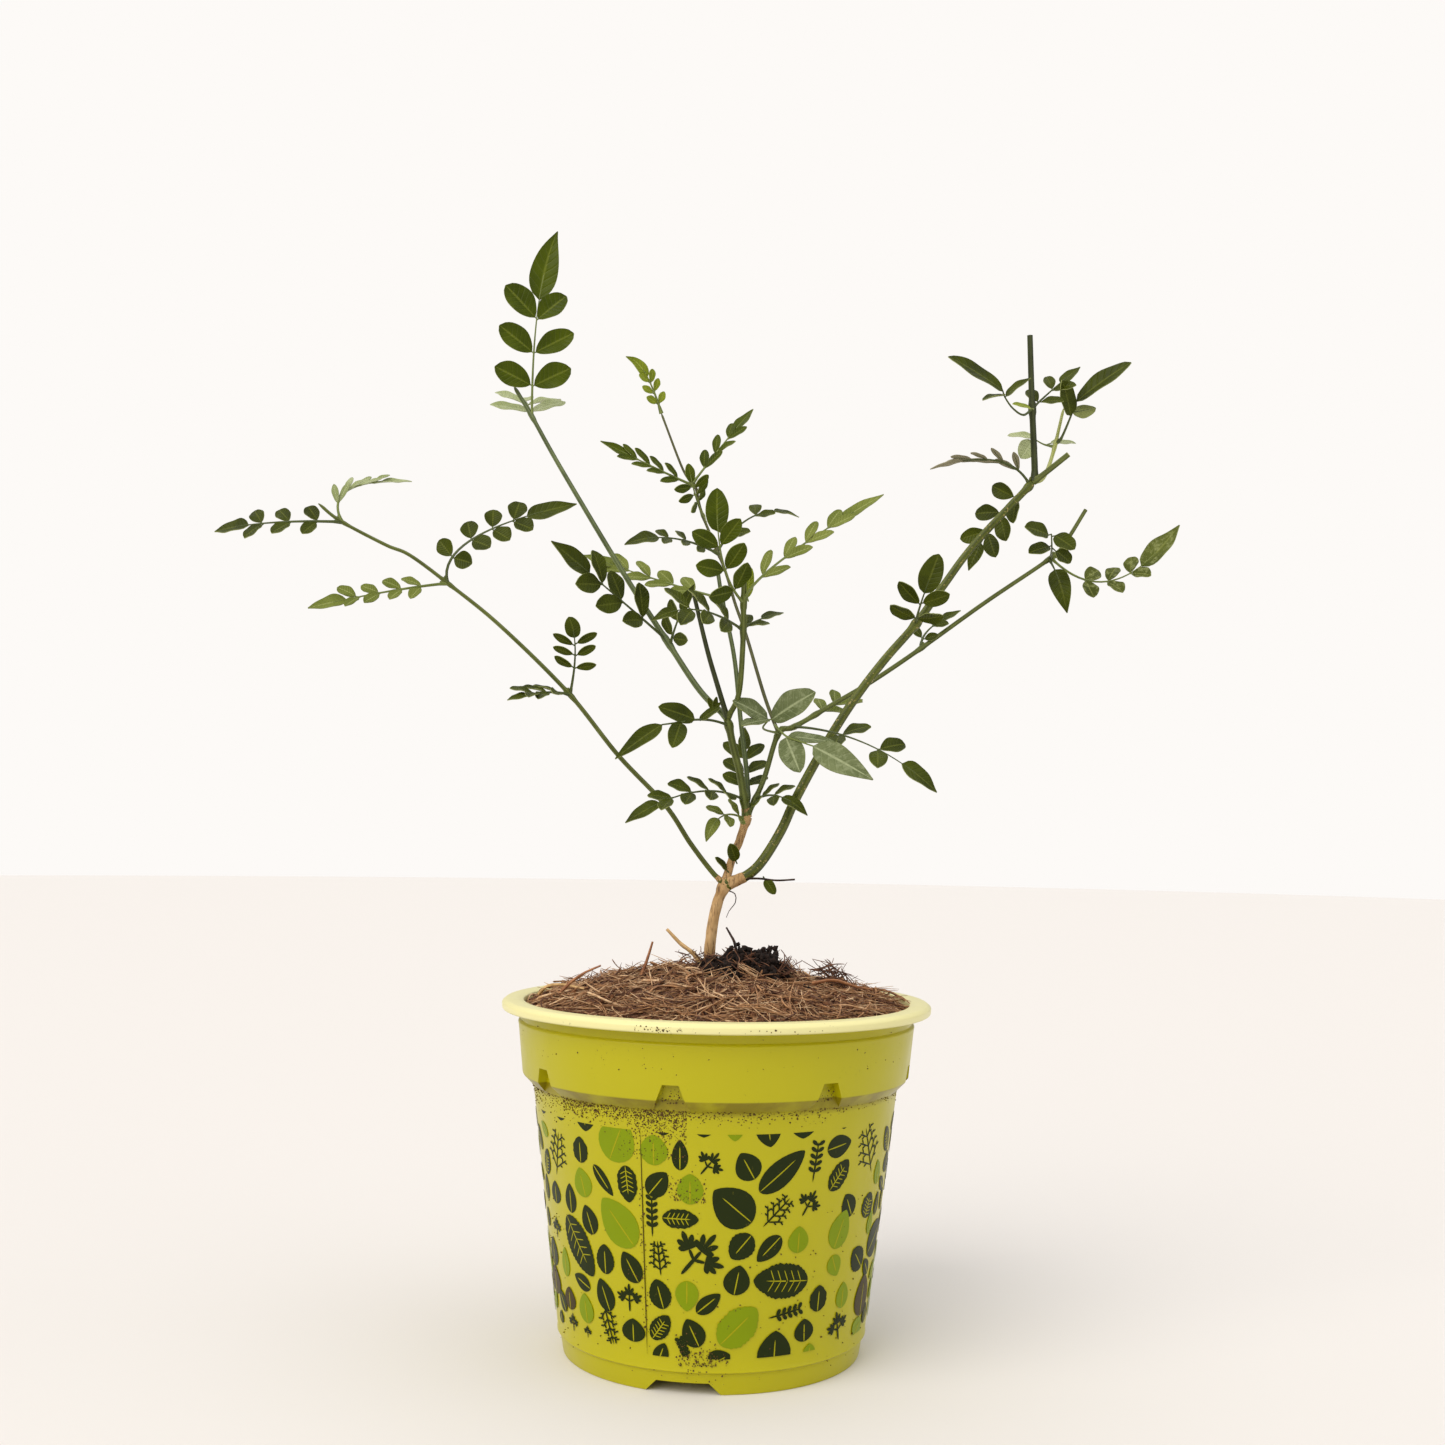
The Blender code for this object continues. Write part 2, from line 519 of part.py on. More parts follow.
def make_stems(parts, bark, green):
    """Makes each stem, and returns the full path and the radii of each by name."""
    routes, built = {}, []
    for stem in STEMS:
        foot = Vector((0, 0, MULCH_TOP))
        points = [foot + Vector(point) * PLANT_SCALE for point in stem.points]
        if stem.name == "trunk":
            points[0].z = MULCH_BOTTOM + GAP
            points[0].xy = points[1].xy = TRUNK_PLACE
        whole = smooth_path(points, POINT_SPACING / 3)
        base, tip = stem.base_radius * PLANT_SCALE, stem.tip_radius * PLANT_SCALE
        if stem.name == "trunk":
            base = TRUNK_RADIUS
        start = clear_start(whole, base, built) if built else 0.0
        path = path_from(whole, start, POINT_SPACING)
        radii = [base + (tip - base) * number / (len(path) - 1) for number in range(len(path))]
        woody = stem.name.startswith("trunk")
        tube(stem.name, path, radii, parts, bark if woody else green, 2 if woody else 1)
        built.append((path, radii))
        routes[stem.name] = (whole, path, radii)
    return routes


# Leaves

# Share of a leaflet's length, and of its half width, from root to tip
SIDE_OUTLINE = ((0.3, 1.0), (0.66, 0.8), (1.0, 0.1))
END_OUTLINE = ((0.14, 0.5), (0.36, 1.0), (0.66, 0.6), (1.0, 0.06))
LOWEST_PAIR_ANGLE = radians(72)
PAIR_ANGLE_STEP = radians(10)
LAST_PAIR_LEAVES = 0.4  # share of a step left between the last pair and the end leaflet
LEAF_POINTS = 24
SIDE_SHARE, STEP_SHARE = 0.27, 0.42  # a side leaflet's half width, of its length or of the pairs' step
END_SHARE, END_EXTRA = 0.19, 0.4
LEAFLET_LIFT = 0.12


def extend(shape, pair, targets):
    """Extrudes the edge between two points, and moves the new edge to the targets."""
    made = bmesh.ops.extrude_edge_only(shape, edges=[shape.edges.get(pair)])["geom"]
    after = {}
    for vert in made:
        if isinstance(vert, bmesh.types.BMVert):
            for edge in vert.link_edges:
                if edge.other_vert(vert) in pair:
                    after[edge.other_vert(vert)] = vert
    for old, target in zip(pair, targets):
        after[old].co = target * MM
    return after[pair[0]], after[pair[1]]


def extend_leaflet(shape, pair, root, along, across, length, half_width, outline):
    for share, width in outline:
        centre = root + along * length * share
        side = across * half_width * width
        pair = extend(shape, pair, (centre - side, centre + side))


def leaf_path(leaf, routes):
    whole = routes[leaf.stem][0]
    base = point_at(whole, leaf.share * lengths_along(whole)[-1])
    middle, tip = Vector(leaf.middle) * PLANT_SCALE, Vector(leaf.tip) * PLANT_SCALE
    bend = 2 * middle - tip / 2
    shares = [number / LEAF_POINTS for number in range(LEAF_POINTS + 1)]
    return [base + bend * 2 * t * (1 - t) + tip * t ** 2 for t in shares]


def pair_step(leaf):
    """The way from one pair of side leaflets to the next, as a share of the midrib below the end leaflet."""
    return (1 - leaf.first) / max(1, leaf.pairs - LAST_PAIR_LEAVES)


def make_leaf(leaf, routes, parts, green):
    """A strip for the midrib, with leaflets extruded from its edges, given its thickness."""
    path = leaf_path(leaf, routes)
    tubes = [(route[1], route[2]) for route in routes.values()]
    half = RACHIS_WIDTH / 2 * PLANT_SCALE
    start = clear_start(path, half + GAP / 2, tubes)
    total = lengths_along(path)[-1]
    end = leaf.end * PLANT_SCALE
    rachis = total - end - start
    spacing = rachis * pair_step(leaf)
    middles = [start + rachis * leaf.first + number * spacing for number in range(leaf.pairs)]
    stops = [start]
    for middle in middles:
        stops += [middle - half, middle + half]
    stops.append(total - end)

    def frame(length):
        here = point_at(path, length)
        ahead = (point_at(path, min(total, length + 0.5)) - point_at(path, length - 0.5)).normalized()
        up = Vector(leaf.face)
        up = (up - ahead * up.dot(ahead)).normalized()
        return here, ahead, up.cross(ahead), up

    shape = bmesh.new()
    strip = []
    for length in stops:
        here, ahead, left, up = frame(length)
        edge = (here - left * half, here + left * half)
        if strip:
            strip.append(extend(shape, strip[-1], edge))
        else:
            strip.append(tuple(shape.verts.new(corner * MM) for corner in edge))
            shape.edges.new(strip[0])
    side = leaf.side * PLANT_SCALE
    for number, middle in enumerate(middles):
        here, ahead, left, up = frame(middle)
        angle = LOWEST_PAIR_ANGLE - PAIR_ANGLE_STEP * number
        for place, turn in ((1, 1), (0, -1)):
            out = left * turn
            along = (ahead * cos(angle) + out * sin(angle) + up * LEAFLET_LIFT).normalized()
            across = (ahead * sin(angle) - out * cos(angle)).normalized()
            pair = (strip[2 * number + 1][place], strip[2 * number + 2][place])
            wide = min(SIDE_SHARE * side, STEP_SHARE * spacing)
            extend_leaflet(shape, pair, here + out * half, along, across, side, wide, SIDE_OUTLINE)
    here, ahead, left, up = frame(total - end)
    ahead = (path[-1] - here).normalized()
    extend_leaflet(shape, strip[-1], here, ahead, left, end, END_SHARE * end + END_EXTRA, END_OUTLINE)
    bmesh.ops.recalc_face_normals(shape, faces=shape.faces)
    mesh = bpy.data.meshes.new(leaf.name)
    shape.to_mesh(mesh)
    shape.free()
    made = add_object(leaf.name, mesh, parts, green)
    solid = made.modifiers.new("thickness", "SOLIDIFY")
    solid.thickness = LEAF_THICKNESS * MM
    solid.offset = 0


def shade_round(parts):
    for made in parts.objects:
        if made.type == "MESH":
            made.data.shade_smooth()
            made.data.set_sharp_from_angle(angle=radians(35))


def main():
    clear_scene()
    parts = new_collection("potted_jasmine")
    cutters = new_collection("cutters", hidden=True)
    plastic = new_material("lime_plastic", (0.52, 0.50, 0.01), 0.35)
    soil = new_material("potting_soil", (0.03, 0.02, 0.012), 0.95)
    coir = new_material("coir_fibre", (0.16, 0.07, 0.03), 0.9)
    peat = new_material("dark_peat", (0.012, 0.008, 0.006), 0.95)
    bark = new_material("young_bark", (0.42, 0.26, 0.12), 0.75)
    stem_green = new_material("green_stem", (0.07, 0.11, 0.02), 0.5)
    leaf_green = new_material("jasmine_leaf", (0.05, 0.10, 0.01), 0.45)
    make_pot(parts, cutters, plastic)
    make_soil(parts, soil)
    make_mulch(parts, cutters, coir)
    make_peat(parts, cutters, peat)
    make_twig(parts, bark)
    routes = make_stems(parts, bark, stem_green)
    for leaf in LEAVES:
        make_leaf(leaf, routes, parts, leaf_green)
    shade_round(parts)


main()
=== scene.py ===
# %% [markdown]
# # A young jasmine in its nursery pot
# The object is a thin plastic pot of soil and coir with one young jasmine in it. The solids that
# were packed before give every size and place. Here each of them gets the surface of the real
# thing: a moulded and printed pot, loose fibres, ridged stems, and leaves with folded blades.
# All sizes are millimetres until the last step, where MM turns them to metres.

# %% Load the fixed frame
from collections import namedtuple
from math import cos, exp, log, pi, radians, sin, sqrt
from random import Random

import bmesh
import bpy
from mathutils import Matrix, Vector, noise


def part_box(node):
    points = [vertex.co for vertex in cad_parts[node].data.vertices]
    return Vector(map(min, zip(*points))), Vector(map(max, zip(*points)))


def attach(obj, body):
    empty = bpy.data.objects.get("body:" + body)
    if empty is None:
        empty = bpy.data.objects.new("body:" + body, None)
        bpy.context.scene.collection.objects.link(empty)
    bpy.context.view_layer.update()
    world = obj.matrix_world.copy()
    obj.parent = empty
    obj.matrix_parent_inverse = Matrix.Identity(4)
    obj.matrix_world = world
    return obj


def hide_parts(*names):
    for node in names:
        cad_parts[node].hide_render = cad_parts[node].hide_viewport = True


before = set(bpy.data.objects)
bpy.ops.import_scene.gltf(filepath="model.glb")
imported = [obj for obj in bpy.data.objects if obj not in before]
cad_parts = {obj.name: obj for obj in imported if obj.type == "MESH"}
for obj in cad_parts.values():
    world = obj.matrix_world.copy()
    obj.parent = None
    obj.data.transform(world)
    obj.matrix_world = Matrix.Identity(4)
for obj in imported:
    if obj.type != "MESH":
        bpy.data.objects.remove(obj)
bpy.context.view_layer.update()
MM = 0.001

# %% [markdown]
# ## Camera, floor and light
# A product like this is shown on a pale floor in soft light. The camera stands a little over half
# a metre away, at the height of the leaves above the pot, and looks slightly upwards, with a
# slight lean. Area lights close by would light the near side more than the far one. Three far
# and very wide suns, as two windows and a ceiling, light it evenly and give soft shadows.

# %% Camera
CAMERA_PLACE = Vector((0.37, -560.5, 171.3))
CAMERA_UP = radians(3.2)
CAMERA_LEAN = radians(0.957)
LENS_MM, SENSOR_MM = 42.19, 36.0

view = bpy.data.objects.new("view", bpy.data.cameras.new("view"))
view.data.lens, view.data.sensor_width = LENS_MM, SENSOR_MM
turn = Matrix.Rotation(pi / 2 + CAMERA_UP, 4, "X") @ Matrix.Rotation(CAMERA_LEAN, 4, "Z")
view.matrix_world = Matrix.Translation(CAMERA_PLACE * MM) @ turn
bpy.context.scene.collection.objects.link(view)
bpy.context.scene.camera = view
bpy.context.scene.view_settings.view_transform = "Standard"
print("camera", [round(v) for v in CAMERA_PLACE], "mm")

# %% Colours and nodes
def linear(code):
    """A hex colour as the numbers that a shader takes."""
    parts = [int(code[place:place + 2], 16) / 255 for place in (1, 3, 5)]
    return tuple(p / 12.92 if p <= 0.04045 else ((p + 0.055) / 1.055) ** 2.4 for p in parts) + (1,)


def add_node(tree, kind, inputs=None, **settings):
    """Adds a node, sets it, and fills its inputs with numbers or with links from other nodes."""
    made = tree.nodes.new(kind)
    for name, value in settings.items():
        setattr(made, name, value)
    for socket, value in (inputs or {}).items():
        if isinstance(value, bpy.types.NodeSocket):
            tree.links.new(value, made.inputs[socket])
        else:
            made.inputs[socket].default_value = value
    return made


def new_finish(name, **settings):
    """A material with its shader's plain settings, by the shader's own names."""
    finish = bpy.data.materials.new(name)
    finish.use_nodes = True
    shader = finish.node_tree.nodes["Principled BSDF"]
    for socket, value in settings.items():
        shader.inputs[socket.replace("_", " ")].default_value = value
    return finish, finish.node_tree


def connect(finish, **values):
    """Links values to the shader of a finish, by the shader's own names, and hands the finish back."""
    shader = finish.node_tree.nodes["Principled BSDF"]
    for socket, value in values.items():
        finish.node_tree.links.new(value, shader.inputs[socket.replace("_", " ")])
    return finish


FACTOR, FIRST, SECOND, RESULT = 0, 6, 7, 2  # the sockets of a Mix node that mixes colours


def blend_colours(tree, factor, first, second, way="MIX"):
    inputs = {FACTOR: factor, FIRST: first, SECOND: second}
    return add_node(tree, "ShaderNodeMix", inputs, data_type="RGBA", blend_type=way).outputs[RESULT]


def between(tree, value, low, high, start=0.0, end=1.0):
    """Turns a value from low to high into one from start to end, and stops at both."""
    inputs = {"Value": value, "From Min": low, "From Max": high, "To Min": start, "To Max": end}
    return add_node(tree, "ShaderNodeMapRange", inputs).outputs["Result"]


def maths(tree, operation, first, second=0.0):
    return add_node(tree, "ShaderNodeMath", {0: first, 1: second}, operation=operation).outputs[0]


def grain(tree, where, size_mm, detail=2.0, roughness=0.5):
    """Noise whose lumps are about this big, at a place given in metres."""
    inputs = {"Vector": where, "Scale": 1 / (size_mm * MM), "Detail": detail, "Roughness": roughness}
    return add_node(tree, "ShaderNodeTexNoise", inputs).outputs["Fac"]


def relief(tree, height, depth_mm, before=None):
    inputs = {"Height": height, "Distance": depth_mm * MM, "Strength": 1.0}
    if before:
        inputs["Normal"] = before
    return add_node(tree, "ShaderNodeBump", inputs).outputs["Normal"]


def places(tree):
    return add_node(tree, "ShaderNodeTexCoord").outputs["Object"]


print("helpers for finishes are ready")

# %% Floor and light
FLOOR_RADIUS = 4000.0


def soft_light(name, place, power, spread, code="#ffffff"):
    """A very wide far light, so that its shadows are soft and the floor is lit evenly."""
    lamp = bpy.data.lights.new(name, "SUN")
    lamp.angle, lamp.energy, lamp.color = radians(spread), power, linear(code)[:3]
    made = bpy.data.objects.new(name, lamp)
    made.rotation_euler = Vector(place).to_track_quat("Z", "Y").to_euler()
    bpy.context.scene.collection.objects.link(made)


ground = bmesh.new()
bmesh.ops.create_circle(ground, cap_ends=True, segments=96, radius=FLOOR_RADIUS * MM)
floor_mesh = bpy.data.meshes.new("floor")
ground.to_mesh(floor_mesh)
ground.free()
floor = bpy.data.objects.new("floor", floor_mesh)
bpy.context.scene.collection.objects.link(floor)
floor_paint, _ = new_finish("floor_matt_paint", Base_Color=linear("#e2deda"), Roughness=0.85)
floor.data.materials.append(floor_paint)

# The studio's walls look white, but they light the object less than they show, as in a room
# whose lamps do most of the work. Otherwise every dark leaf would wear a white film.
sky = bpy.data.worlds.new("studio")
bpy.context.scene.world = sky
sky.use_nodes = True
seen = add_node(sky.node_tree, "ShaderNodeLightPath").outputs["Is Camera Ray"]
strength = between(sky.node_tree, seen, 0.0, 1.0, 0.5, 1.0)
sky.node_tree.nodes["Background"].inputs["Color"].default_value = linear("#fdfaf7")
sky.node_tree.links.new(strength, sky.node_tree.nodes["Background"].inputs["Strength"])
soft_light("window_left", (-5, -6, 6), 1.9, 50, "#fffaf4")
soft_light("window_right", (8, -3, 4), 0.5, 60, "#f8faff")
soft_light("ceiling", (0, 0.5, 5), 1.1, 100)
print("floor and three soft lights")

# %% [markdown]
# ## How pieces are made and kept
# Every piece is drawn in millimetres in one bmesh, then scaled to metres as it is stored, so that
# its object stays at the origin, unturned and unscaled. The solids that it stands for are then
# hidden, and it rides on the only body.

# %% Keep a piece
SMOOTH_UNDER = radians(40)


def keep(shape, name, finishes, solids=(), sharp_from=SMOOTH_UNDER):
    """Stores a bmesh as a piece that rides on the root, and stands for the named solids."""
    bmesh.ops.scale(shape, vec=(MM, MM, MM), verts=shape.verts)
    mesh = bpy.data.meshes.new(name)
    shape.to_mesh(mesh)
    shape.free()
    for finish in finishes:
        mesh.materials.append(finish)
    mesh.shade_smooth()
    mesh.set_sharp_from_angle(angle=sharp_from)
    piece = bpy.data.objects.new(name, mesh)
    bpy.context.scene.collection.objects.link(piece)
    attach(piece, "root")
    if solids:
        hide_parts(*solids)
    return piece


def box_mm(node):
    low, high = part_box(node)
    return low / MM, high / MM


def smooth_step(value, low, high):
    """0 under low, 1 over high, and an even slope between them."""
    share = min(1.0, max(0.0, (value - low) / (high - low)))
    return share * share * (3 - 2 * share)


print("pieces are stored by keep()")

# %% [markdown]
# ## The pot's wall
# The real pot is injection moulded: one wall of even thickness, with a rolled lip, a groove, a
# wide grip band, a tapered wall and a foot ring. It could be cut from blocks, but a moulded wall
# is a turned shape, so its section is spun round the axis. The notches, slots and drain holes
# aren't round, so they come after it, from cutters.

# %% Pot sizes, from its solid
_, pot_high = box_mm("pot")
RIM_RADIUS, POT_HEIGHT = pot_high.x, pot_high.z
WALL = 1.2
LIP_UNDERSIDE = POT_HEIGHT - 3.5
BAND_TOP = LIP_UNDERSIDE - 3.7
BAND_BOTTOM = BAND_TOP - 16.6
WALL_TOP = BAND_BOTTOM - 3.6
BAND_RADIUS = RIM_RADIUS - 5.6
NECK_RADIUS = BAND_RADIUS - 0.6
BAND_LOW_RADIUS = BAND_RADIUS - 1.6
WALL_TOP_RADIUS = BAND_LOW_RADIUS - 3.6
WALL_LOW_RADIUS = WALL_TOP_RADIUS - 9.5
FOOT_TOP_RADIUS = WALL_LOW_RADIUS - 0.9
FOOT_RADIUS = FOOT_TOP_RADIUS - 1.0
FOOT_HEIGHT, FOOT_RING, FLOOR_UNDERSIDE = 6.2, 3.6, 4.0
POT_STEPS, MOST_BETWEEN_POINTS = 288, 6.0


def wall_radius(height):
    """The wall's outside between the foot and the band."""
    share = (height - FOOT_HEIGHT) / (WALL_TOP - FOOT_HEIGHT)
    return WALL_LOW_RADIUS + share * (WALL_TOP_RADIUS - WALL_LOW_RADIUS)


def rounded(points, radius, steps=4):
    """The corners of an open outline, each turned into a short curve."""
    made = [points[0]]
    for before, corner, after in zip(points, points[1:], points[2:]):
        start = corner + (before - corner).normalized() * min(radius, (before - corner).length * 0.45)
        end = corner + (after - corner).normalized() * min(radius, (after - corner).length * 0.45)
        for number in range(steps + 1):
            t = number / steps
            made.append(start * (1 - t) ** 2 + corner * 2 * t * (1 - t) + end * t ** 2)
    return made + [points[-1]]


def filled_in(points, spacing):
    """The same outline with a point at least this often."""
    made = [points[0]]
    for start, end in zip(points, points[1:]):
        pieces = max(1, round((end - start).length / spacing))
        made += [start.lerp(end, number / pieces) for number in range(1, pieces + 1)]
    return made


def outline(*corners):
    return [Vector((radius, 0, height)) for radius, height in corners]


print("pot", round(2 * RIM_RADIUS), "mm across,", round(POT_HEIGHT), "mm high, wall", WALL, "mm")

# %% The section of the wall
lip = outline(
    (NECK_RADIUS - WALL, LIP_UNDERSIDE), (NECK_RADIUS - WALL + 0.3, POT_HEIGHT - 0.4),
    (NECK_RADIUS + 1.2, POT_HEIGHT), (RIM_RADIUS - 1.3, POT_HEIGHT - 0.15),
    (RIM_RADIUS, POT_HEIGHT - 1.2), (RIM_RADIUS - 0.15, LIP_UNDERSIDE + 0.4),
    (RIM_RADIUS - 0.9, LIP_UNDERSIDE), (RIM_RADIUS - 1.6, LIP_UNDERSIDE + 0.7),
    (NECK_RADIUS, LIP_UNDERSIDE + 0.7),
)
band = outline(
    (NECK_RADIUS, BAND_TOP + 0.7), (BAND_RADIUS + 0.25, BAND_TOP), (BAND_RADIUS, BAND_TOP - 1.2),
    (BAND_LOW_RADIUS, BAND_BOTTOM), (WALL_TOP_RADIUS, WALL_TOP),
)
lower = outline(
    (WALL_LOW_RADIUS, FOOT_HEIGHT + 1.6), (WALL_LOW_RADIUS + 0.25, FOOT_HEIGHT + 0.8),
    (FOOT_TOP_RADIUS, FOOT_HEIGHT + 0.2), (FOOT_TOP_RADIUS, FOOT_HEIGHT - 0.6),
    (FOOT_RADIUS, 0), (FOOT_RADIUS - FOOT_RING, 0), (FOOT_RADIUS - FOOT_RING, FLOOR_UNDERSIDE),
    (0, FLOOR_UNDERSIDE),
)
inside = outline(
    (0, FLOOR_UNDERSIDE + WALL), (WALL_LOW_RADIUS - WALL, FLOOR_UNDERSIDE + WALL),
    (WALL_TOP_RADIUS - WALL, WALL_TOP), (BAND_LOW_RADIUS - WALL, BAND_BOTTOM),
    (BAND_RADIUS - WALL, BAND_TOP), (NECK_RADIUS - WALL, BAND_TOP + 0.7),
    (NECK_RADIUS - WALL, LIP_UNDERSIDE),
)
whole = rounded(inside, 0.8) + rounded(lip, 0.5)[1:] + rounded(band, 0.45) + rounded(lower, 0.35)
section = filled_in(whole, MOST_BETWEEN_POINTS)
print("points in the section:", len(section))

# %% Spin the section
pot = bmesh.new()
ring = [pot.verts.new(point) for point in section]
edges = [pot.edges.new(pair) for pair in zip(ring, ring[1:])]
bmesh.ops.spin(pot, geom=ring + edges, axis=(0, 0, 1), cent=(0, 0, 0), steps=POT_STEPS, angle=2 * pi,
               use_merge=True)
bmesh.ops.remove_doubles(pot, verts=pot.verts, dist=0.01)
bmesh.ops.recalc_face_normals(pot, faces=pot.faces)
print("pot faces:", len(pot.faces), "open edges:", sum(len(e.link_faces) != 2 for e in pot.edges))

# %% [markdown]
# ## The pot's plastic
# Polypropylene, moulded in a lime colour that is mixed into the plastic. It is waxy: soft broad
# highlights, a little light that goes in and comes out again, and a faint orange-peel skin.
# Years of handling aren't on it, but dust and splashes of wet coir are, thickest under the band, where
# painted shade also darkens the bevel.

# %% Moulded lime polypropylene
LIME, CLOUDY_LIME, LIP_HIGHLIGHT_LIME = "#b2aa00", "#b0a900", "#e6dfa0"
UNDER_BAND_SHADE_COLOUR, WET_DUST = "#6d5c08", "#4a3812"


def lime_plastic():
    finish, tree = new_finish("moulded_lime_polypropylene", IOR=1.49, Specular_IOR_Level=0.3,
                              Coat_Weight=0.1, Coat_Roughness=0.08)
    where = places(tree)
    height = add_node(tree, "ShaderNodeSeparateXYZ", {0: where}).outputs["Z"]
    # Painted highlight: the lip is painted paler than the body, for the top light that it catches.
    lip_highlight_share = between(tree, height, (LIP_UNDERSIDE - 0.2) * MM, (LIP_UNDERSIDE + 0.6) * MM)
    clouds = grain(tree, where, 40.0)
    body = blend_colours(tree, between(tree, clouds, 0.35, 0.7), linear(LIME), linear(CLOUDY_LIME))
    colour = blend_colours(tree, lip_highlight_share, body, linear(LIP_HIGHLIGHT_LIME))
    dust = grain(tree, where, 1.1, 4.0, 0.7)
    smear = grain(tree, where, 14.0, 3.0)
    dusty = maths(tree, "MULTIPLY", between(tree, dust, 0.62, 0.74), between(tree, smear, 0.5, 0.68))
    low_band = between(tree, height, (WALL_TOP - 9) * MM, (WALL_TOP + 1) * MM, 0.2, 0.8)
    # Painted shade: the bevel between the wall and the band is darkened in patches, as if the band
    # shaded it.
    under_band_shade = maths(tree, "MULTIPLY", between(tree, height, (WALL_TOP - 1.5) * MM, (WALL_TOP + 0.5) * MM),
                  between(tree, height, (BAND_BOTTOM + 0.3) * MM, (BAND_BOTTOM - 0.1) * MM))
    shade_patches = between(tree, grain(tree, where, 8.0, 4.0), 0.3, 0.6, 0.3, 0.75)
    colour = blend_colours(tree, maths(tree, "MULTIPLY", under_band_shade, shade_patches), colour, linear(UNDER_BAND_SHADE_COLOUR))
    colour = blend_colours(tree, maths(tree, "MULTIPLY", dusty, low_band), colour, linear(WET_DUST))
    skin = relief(tree, grain(tree, where, 2.5), 0.02)
    return connect(finish, Base_Color=colour, Roughness=between(tree, smear, 0.3, 0.7, 0.3, 0.42),
                   Normal=relief(tree, grain(tree, where, 9.0), 0.08, skin))


lime = lime_plastic()
pot_piece = keep(pot, "moulded_pot", [lime], ["pot"])
print("moulded_pot:", len(pot_piece.data.polygons), "faces")

# %% [markdown]
# ## Notches, slots and drain holes
# Eight notches in the band's lower edge let nested pots come apart, three slots in the foot let
# water out at the sides, and eight holes drain the floor. Points of the wall could be pushed in,
# but the edges would be soft. Cutters leave crisp ones. A notch is deeper than the wall is thick,
# so a small block is joined behind each one first, which closes it.

# %% Cutters round the pot
FIRST_NOTCH, NOTCHES, NOTCH_DEPTH, NOTCH_RISE = radians(-12), 8, 3.2, 8.4
NOTCH_LOW, NOTCH_HIGH = 12.0, 5.0
FIRST_SLOT, SLOTS, SLOT_RISE, SLOT_LOW, SLOT_HIGH = radians(-10), 3, 3.6, 23.0, 16.0
DRAINS, DRAIN_RADIUS, DRAIN_CIRCLE, DRAIN_SIDES = 8, 4.0, 30.0, 32


def prisms(corners, way, count, first):
    """Blocks round the pot: one side face from its corners, extruded along the way, then turned."""
    shape = bmesh.new()
    for number in range(count):
        face = shape.faces.new([shape.verts.new(corner) for corner in corners])
        near = list(face.verts)
        pulled = bmesh.ops.extrude_face_region(shape, geom=[face])["geom"]
        far = [part for part in pulled if isinstance(part, bmesh.types.BMVert)]
        bmesh.ops.translate(shape, verts=far, vec=way)
        turn = Matrix.Rotation(first + number * 2 * pi / count, 3, "Z")
        bmesh.ops.rotate(shape, verts=near + far, matrix=turn)
    bmesh.ops.recalc_face_normals(shape, faces=shape.faces)
    return shape


def work(piece, shape, operation):
    """Joins a shape to a piece or cuts it away, and keeps the result as the piece's mesh."""
    bmesh.ops.scale(shape, vec=(MM, MM, MM), verts=shape.verts)
    mesh = bpy.data.meshes.new("cutter")
    shape.to_mesh(mesh)
    shape.free()
    cutter = bpy.data.objects.new("cutter", mesh)
    bpy.context.scene.collection.objects.link(cutter)
    step = piece.modifiers.new("step", "BOOLEAN")
    step.operation, step.object = operation, cutter
    result = bpy.data.meshes.new_from_object(piece.evaluated_get(bpy.context.evaluated_depsgraph_get()))
    piece.modifiers.clear()
    piece.data = result
    bpy.data.objects.remove(cutter)
    result.shade_smooth()
    result.set_sharp_from_angle(angle=radians(32))


def trapezoid(near, low, high, low_width, high_width):
    return ((-low_width / 2, -near, low), (low_width / 2, -near, low),
            (high_width / 2, -near, high), (-high_width / 2, -near, high))


print("cutters for", NOTCHES, "notches,", SLOTS, "slots and", DRAINS, "holes")

# %% Join the blocks behind the notches, then cut
half_block = NOTCH_LOW / 2 + 1.2
block_top = WALL_TOP + NOTCH_RISE + 1.5
block = [(-half_block, -radius, height) for radius, height in (
    (WALL_TOP_RADIUS - WALL, WALL_TOP + 0.3), (WALL_TOP_RADIUS - WALL, block_top),
    (BAND_LOW_RADIUS - WALL / 2, block_top), (BAND_LOW_RADIUS - WALL / 2, BAND_BOTTOM + 0.2),
    (WALL_TOP_RADIUS - WALL / 2, WALL_TOP + 0.3))]
work(pot_piece, prisms(block, (2 * half_block, 0, 0), NOTCHES, FIRST_NOTCH), "UNION")
notch = trapezoid(BAND_LOW_RADIUS - NOTCH_DEPTH, WALL_TOP - 0.4, WALL_TOP + NOTCH_RISE,
                  NOTCH_LOW, NOTCH_HIGH)
work(pot_piece, prisms(notch, (0, -12, 0), NOTCHES, FIRST_NOTCH), "DIFFERENCE")
slot_cut = trapezoid(FOOT_RADIUS - 8, -SLOT_RISE, SLOT_RISE, 2 * SLOT_LOW - SLOT_HIGH, SLOT_HIGH)
work(pot_piece, prisms(slot_cut, (0, -20, 0), SLOTS, FIRST_SLOT), "DIFFERENCE")
drill = bmesh.new()
for number in range(DRAINS):
    angle = FIRST_NOTCH + (number + 0.5) * 2 * pi / DRAINS
    spot = Vector((DRAIN_CIRCLE * sin(angle), -DRAIN_CIRCLE * cos(angle), FLOOR_UNDERSIDE))
    bmesh.ops.create_cone(drill, cap_ends=True, segments=DRAIN_SIDES, radius1=DRAIN_RADIUS,
                          radius2=DRAIN_RADIUS, depth=6 * WALL, matrix=Matrix.Translation(spot))
work(pot_piece, drill, "DIFFERENCE")
print("moulded_pot after cutting:", len(pot_piece.data.polygons), "faces")

